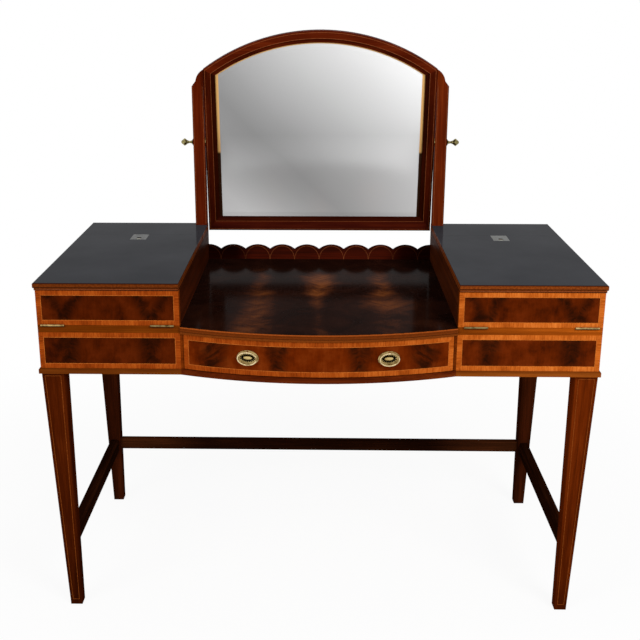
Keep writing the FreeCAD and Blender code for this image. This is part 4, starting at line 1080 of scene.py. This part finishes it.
# %% Oval lofts
def oval_loft(rings, lay, segments=48):
    """A closed skin through oval rings in millimetres (half width, half height, lift), from point to point."""
    work = bmesh.new()
    rows = []
    for half_x, half_z, lift in ((a * MM, b * MM, c * MM) for a, b, c in rings):
        if half_x == 0:
            rows.append([work.verts.new(lay(0, 0, lift))])
            continue
        angles = (2 * math.pi * k / segments for k in range(segments))
        rows.append([work.verts.new(lay(half_x * math.cos(a), half_z * math.sin(a), lift)) for a in angles])
    for one, two in zip(rows, rows[1:]):
        for k in range(segments):
            after = (k + 1) % segments
            corners = [one[k % len(one)], one[after % len(one)], two[after % len(two)], two[k % len(two)]]
            work.faces.new(list(dict.fromkeys(corners)))
    return settled(work, "oval")


def join(name, *meshes):
    """One mesh out of several, each given with its finish."""
    work = bmesh.new()
    finishes = []
    for mesh, material in meshes:
        start = len(work.faces)
        work.from_mesh(mesh)
        work.faces.ensure_lookup_table()
        if material not in finishes:
            finishes.append(material)
        for face in work.faces[start:]:
            face.material_index = finishes.index(material)
    mesh = settled(work, name)
    for material in finishes:
        mesh.materials.append(material)
    return mesh


print("oval lofts ready")

# %% Ray tree
ray_tree, given = new_tree(
    "pull_rays", ("Count", "Int", 26), ("Oval", "Vector", None), ("Ray", "Vector", None), ("Turn", "Vector", None),
    ("Place", "Vector", None), ("Finish", "Material", None))
circle = wired(ray_tree, "GeometryNodeCurvePrimitiveCircle", {"Resolution": 128, "Radius": 1.0}, mode="RADIUS")
upended = wired(ray_tree, "GeometryNodeTransform", {"Geometry": circle, "Rotation": (QUARTER, 0, 0)})
oval = wired(ray_tree, "GeometryNodeTransform", {"Geometry": upended, "Scale": given["Oval"]})
spaced = wired(ray_tree, "GeometryNodeResampleCurve", {"Curve": oval, "Count": given["Count"]})
position = add(ray_tree, "GeometryNodeInputPosition").outputs[0]
outward = wired(ray_tree, "FunctionNodeAlignRotationToVector", {"Vector": position}, axis="X", pivot_axis="Y")
ball = wired(ray_tree, "GeometryNodeMeshIcoSphere", {"Radius": 1.0, "Subdivisions": 2})
inputs = {"Points": spaced, "Instance": ball, "Rotation": outward, "Scale": given["Ray"]}
rays = wired(ray_tree, "GeometryNodeInstanceOnPoints", inputs)
inputs = {"Geometry": rays, "Rotation": given["Turn"], "Translation": given["Place"]}
end_tree(ray_tree, wired(ray_tree, "GeometryNodeTransform", inputs), given["Finish"])

# %% Pull measures
# All in millimetres. The ground's rings are given by their inset from the plate's edge and their lift.
PLATE_HALF_X, PLATE_HALF_Z = 24, 17
RIM = ((0.2, 0.0), (0.0, 0.5), (0.3, 1.1), (1.0, 1.4), (1.8, 1.2), (2.6, 0.7), (8.5, 0.7))
GROUND = [(PLATE_HALF_X - inset, PLATE_HALF_Z - inset, lift) for inset, lift in RIM]
GROUND = [(0, 0, 0.0), *GROUND, (0, 0, 0.7)]
STRUCK = ((0, 0, 0.4), (17.2, 10.0, 0.4), (17.0, 9.8, 0.9), (0, 0, 0.9))
BOSS = (
    (0, 0, 0.3), (10.0, 4.2, 0.3), (10.0, 4.2, 1.1), (9.2, 3.7, 1.9), (7.6, 2.9, 2.5), (4.6, 1.7, 2.9), (0, 0, 3.0))
LUG = (
    (0, 0, 0.3), (3.2, 2.6, 0.3), (3.2, 2.6, 3.0), (2.6, 2.2, 5.6), (3.0, 2.7, 6.8), (3.3, 3.0, 8.0),
    (3.1, 2.8, 9.2), (2.3, 2.1, 10.1), (1.2, 1.1, 10.6), (0, 0, 10.7))
LUG_SEGMENTS = 20
# Count, half axes of the oval, size of one ball, lift.
RAYS = (18, (16.6, 9.9), (3.2, 0.8, 0.8), 0.7)
BEADS = (44, (22.3, 15.3), (1.6, 1.5, 1.3), 0.9)
RING_HALF_X, RING_HALF_Z, RING_BAR = 20.75 * MM, 13.75 * MM, 1.75 * MM


def pull_place(side):
    """A ring's middle, its plate's seat on the bow, and the ways along and out of the front."""
    joint = joints[side + "_pull_swing"]
    hung = Vector(joint["pos_m"])
    along = -Vector(joint["axis"]).normalized()
    outward = along.cross(UP)
    centre = Vector((hung.x, hung.y, hung.z - RING_HALF_Z))
    root = (Vector((centre.x, centre.y, 0)) - Vector((0, bow_centre, 0))).length - face_radius
    return centre, centre - outward * root, along, outward


print("pulls at", [[round(v, 4) for v in pull_place(side)[1]] for side in SIDES])


# %% Pull rings
RING_STEPS, BAR_STEPS = 72, 14


def bail_mesh(name, centre, along, outward):
    """An oval ring of round bar."""
    work = bmesh.new()
    loops = []
    for k in range(RING_STEPS):
        around = 2 * math.pi * k / RING_STEPS
        spine = Vector((RING_HALF_X * math.cos(around), RING_HALF_Z * math.sin(around)))
        normal = Vector((math.cos(around) / RING_HALF_X, math.sin(around) / RING_HALF_Z)).normalized()
        loop = []
        for b in range(BAR_STEPS):
            turned = 2 * math.pi * b / BAR_STEPS
            flat = spine + normal * RING_BAR * math.cos(turned)
            place = centre + along * flat.x + Vector((0, 0, flat.y))
            loop.append(work.verts.new(place + outward * RING_BAR * math.sin(turned)))
        loops.append(loop)
    for k in range(RING_STEPS):
        one, two = loops[k], loops[(k + 1) % RING_STEPS]
        for b in range(BAR_STEPS):
            c = (b + 1) % BAR_STEPS
            work.faces.new((one[b], one[c], two[c], two[b]))
    return settled(work, name)


for side in SIDES:
    centre, _, along, outward = pull_place(side)
    name = side + "_pull_bail"
    bail = piece(name, bail_mesh(name, centre, along, outward), side + "_pull_ring", (bright_brass,), True)
    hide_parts(side + "_pull_ring")


# %% Pull plates
def plate_lay(seat, along, outward, raised=0.0):
    return lambda x, z, lift: seat + along * x + Vector((0, 0, z + raised)) + outward * lift


def ball_row(name, lay, angle, count, oval, ball, lift):
    half_x, half_z = oval
    return grown(
        name, bpy.data.meshes.new(name), ray_tree, Count=count, Oval=(half_x * MM, 1, half_z * MM),
        Ray=tuple(size * MM for size in ball), Turn=(0, 0, angle), Place=lay(0, 0, lift * MM), Finish=brass)


pull_meshes = []
for side in SIDES:
    _, seat, along, outward = pull_place(side)
    lay, lug_lay = plate_lay(seat, along, outward), plate_lay(seat, along, outward, RING_HALF_Z)
    angle = math.atan2(along.y, along.x)
    pull_meshes += [
        (oval_loft(GROUND, lay), struck_brass), (oval_loft(STRUCK, lay), dark_brass), (oval_loft(BOSS, lay), brass),
        (ball_row("rays", lay, angle, *RAYS), brass), (ball_row("beads", lay, angle, *BEADS), brass),
        (oval_loft(LUG, lug_lay, LUG_SEGMENTS), bright_brass)]
plates = piece("stamped_pull_plates", join("stamped_pull_plates", *pull_meshes), "drawer", (), True)
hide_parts("pull_plates")

# %% [markdown]
# ## The pivot knobs
# A turned brass knob at the outside of each upright tightens the mirror's pivot: a flared collar against
# the wood, a thin neck and a ringed ball with a button end. Turned work is a profile spun round its own
# axis, so it is lofted as round rings along the spindle.

# %% Knobs
# Radius, and distance from the table's middle, in millimetres.
KNOB_PROFILE = (
    (4.0, 328.6), (9.0, 328.8), (9.2, 329.8), (8.2, 331.0), (5.6, 332.6), (3.8, 334.8), (3.0, 337.4), (2.9, 340.6),
    (3.2, 342.4), (4.6, 343.2), (4.6, 344.2), (3.9, 344.8), (5.6, 346.4), (7.8, 349.2), (9.6, 351.8), (9.75, 352.4),
    (9.4, 353.2), (7.6, 355.4), (5.8, 357.6), (4.2, 359.4), (3.2, 360.5), (1.8, 361.3), (0, 361.5))
SPINDLE_RADIUS, KNOB_SEGMENTS = 4, 40


def knob_lay(sign):
    return lambda x, z, lift: Vector((sign * lift, pivot.y + x, pivot.z + z))


for side, sign in SIDES.items():
    spindle = min(abs(corner.x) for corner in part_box(side + "_pivot_knob")) / MM
    rings = [(0, 0, spindle), (SPINDLE_RADIUS, SPINDLE_RADIUS, spindle)]
    rings += [(radius, radius, reach_x) for radius, reach_x in KNOB_PROFILE]
    mesh = oval_loft(rings, knob_lay(sign), KNOB_SEGMENTS)
    mesh.name = side + "_turned_knob"
    knob = piece(side + "_turned_knob", mesh, side + "_knob", (knob_brass,), True)
    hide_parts(side + "_pivot_knob")
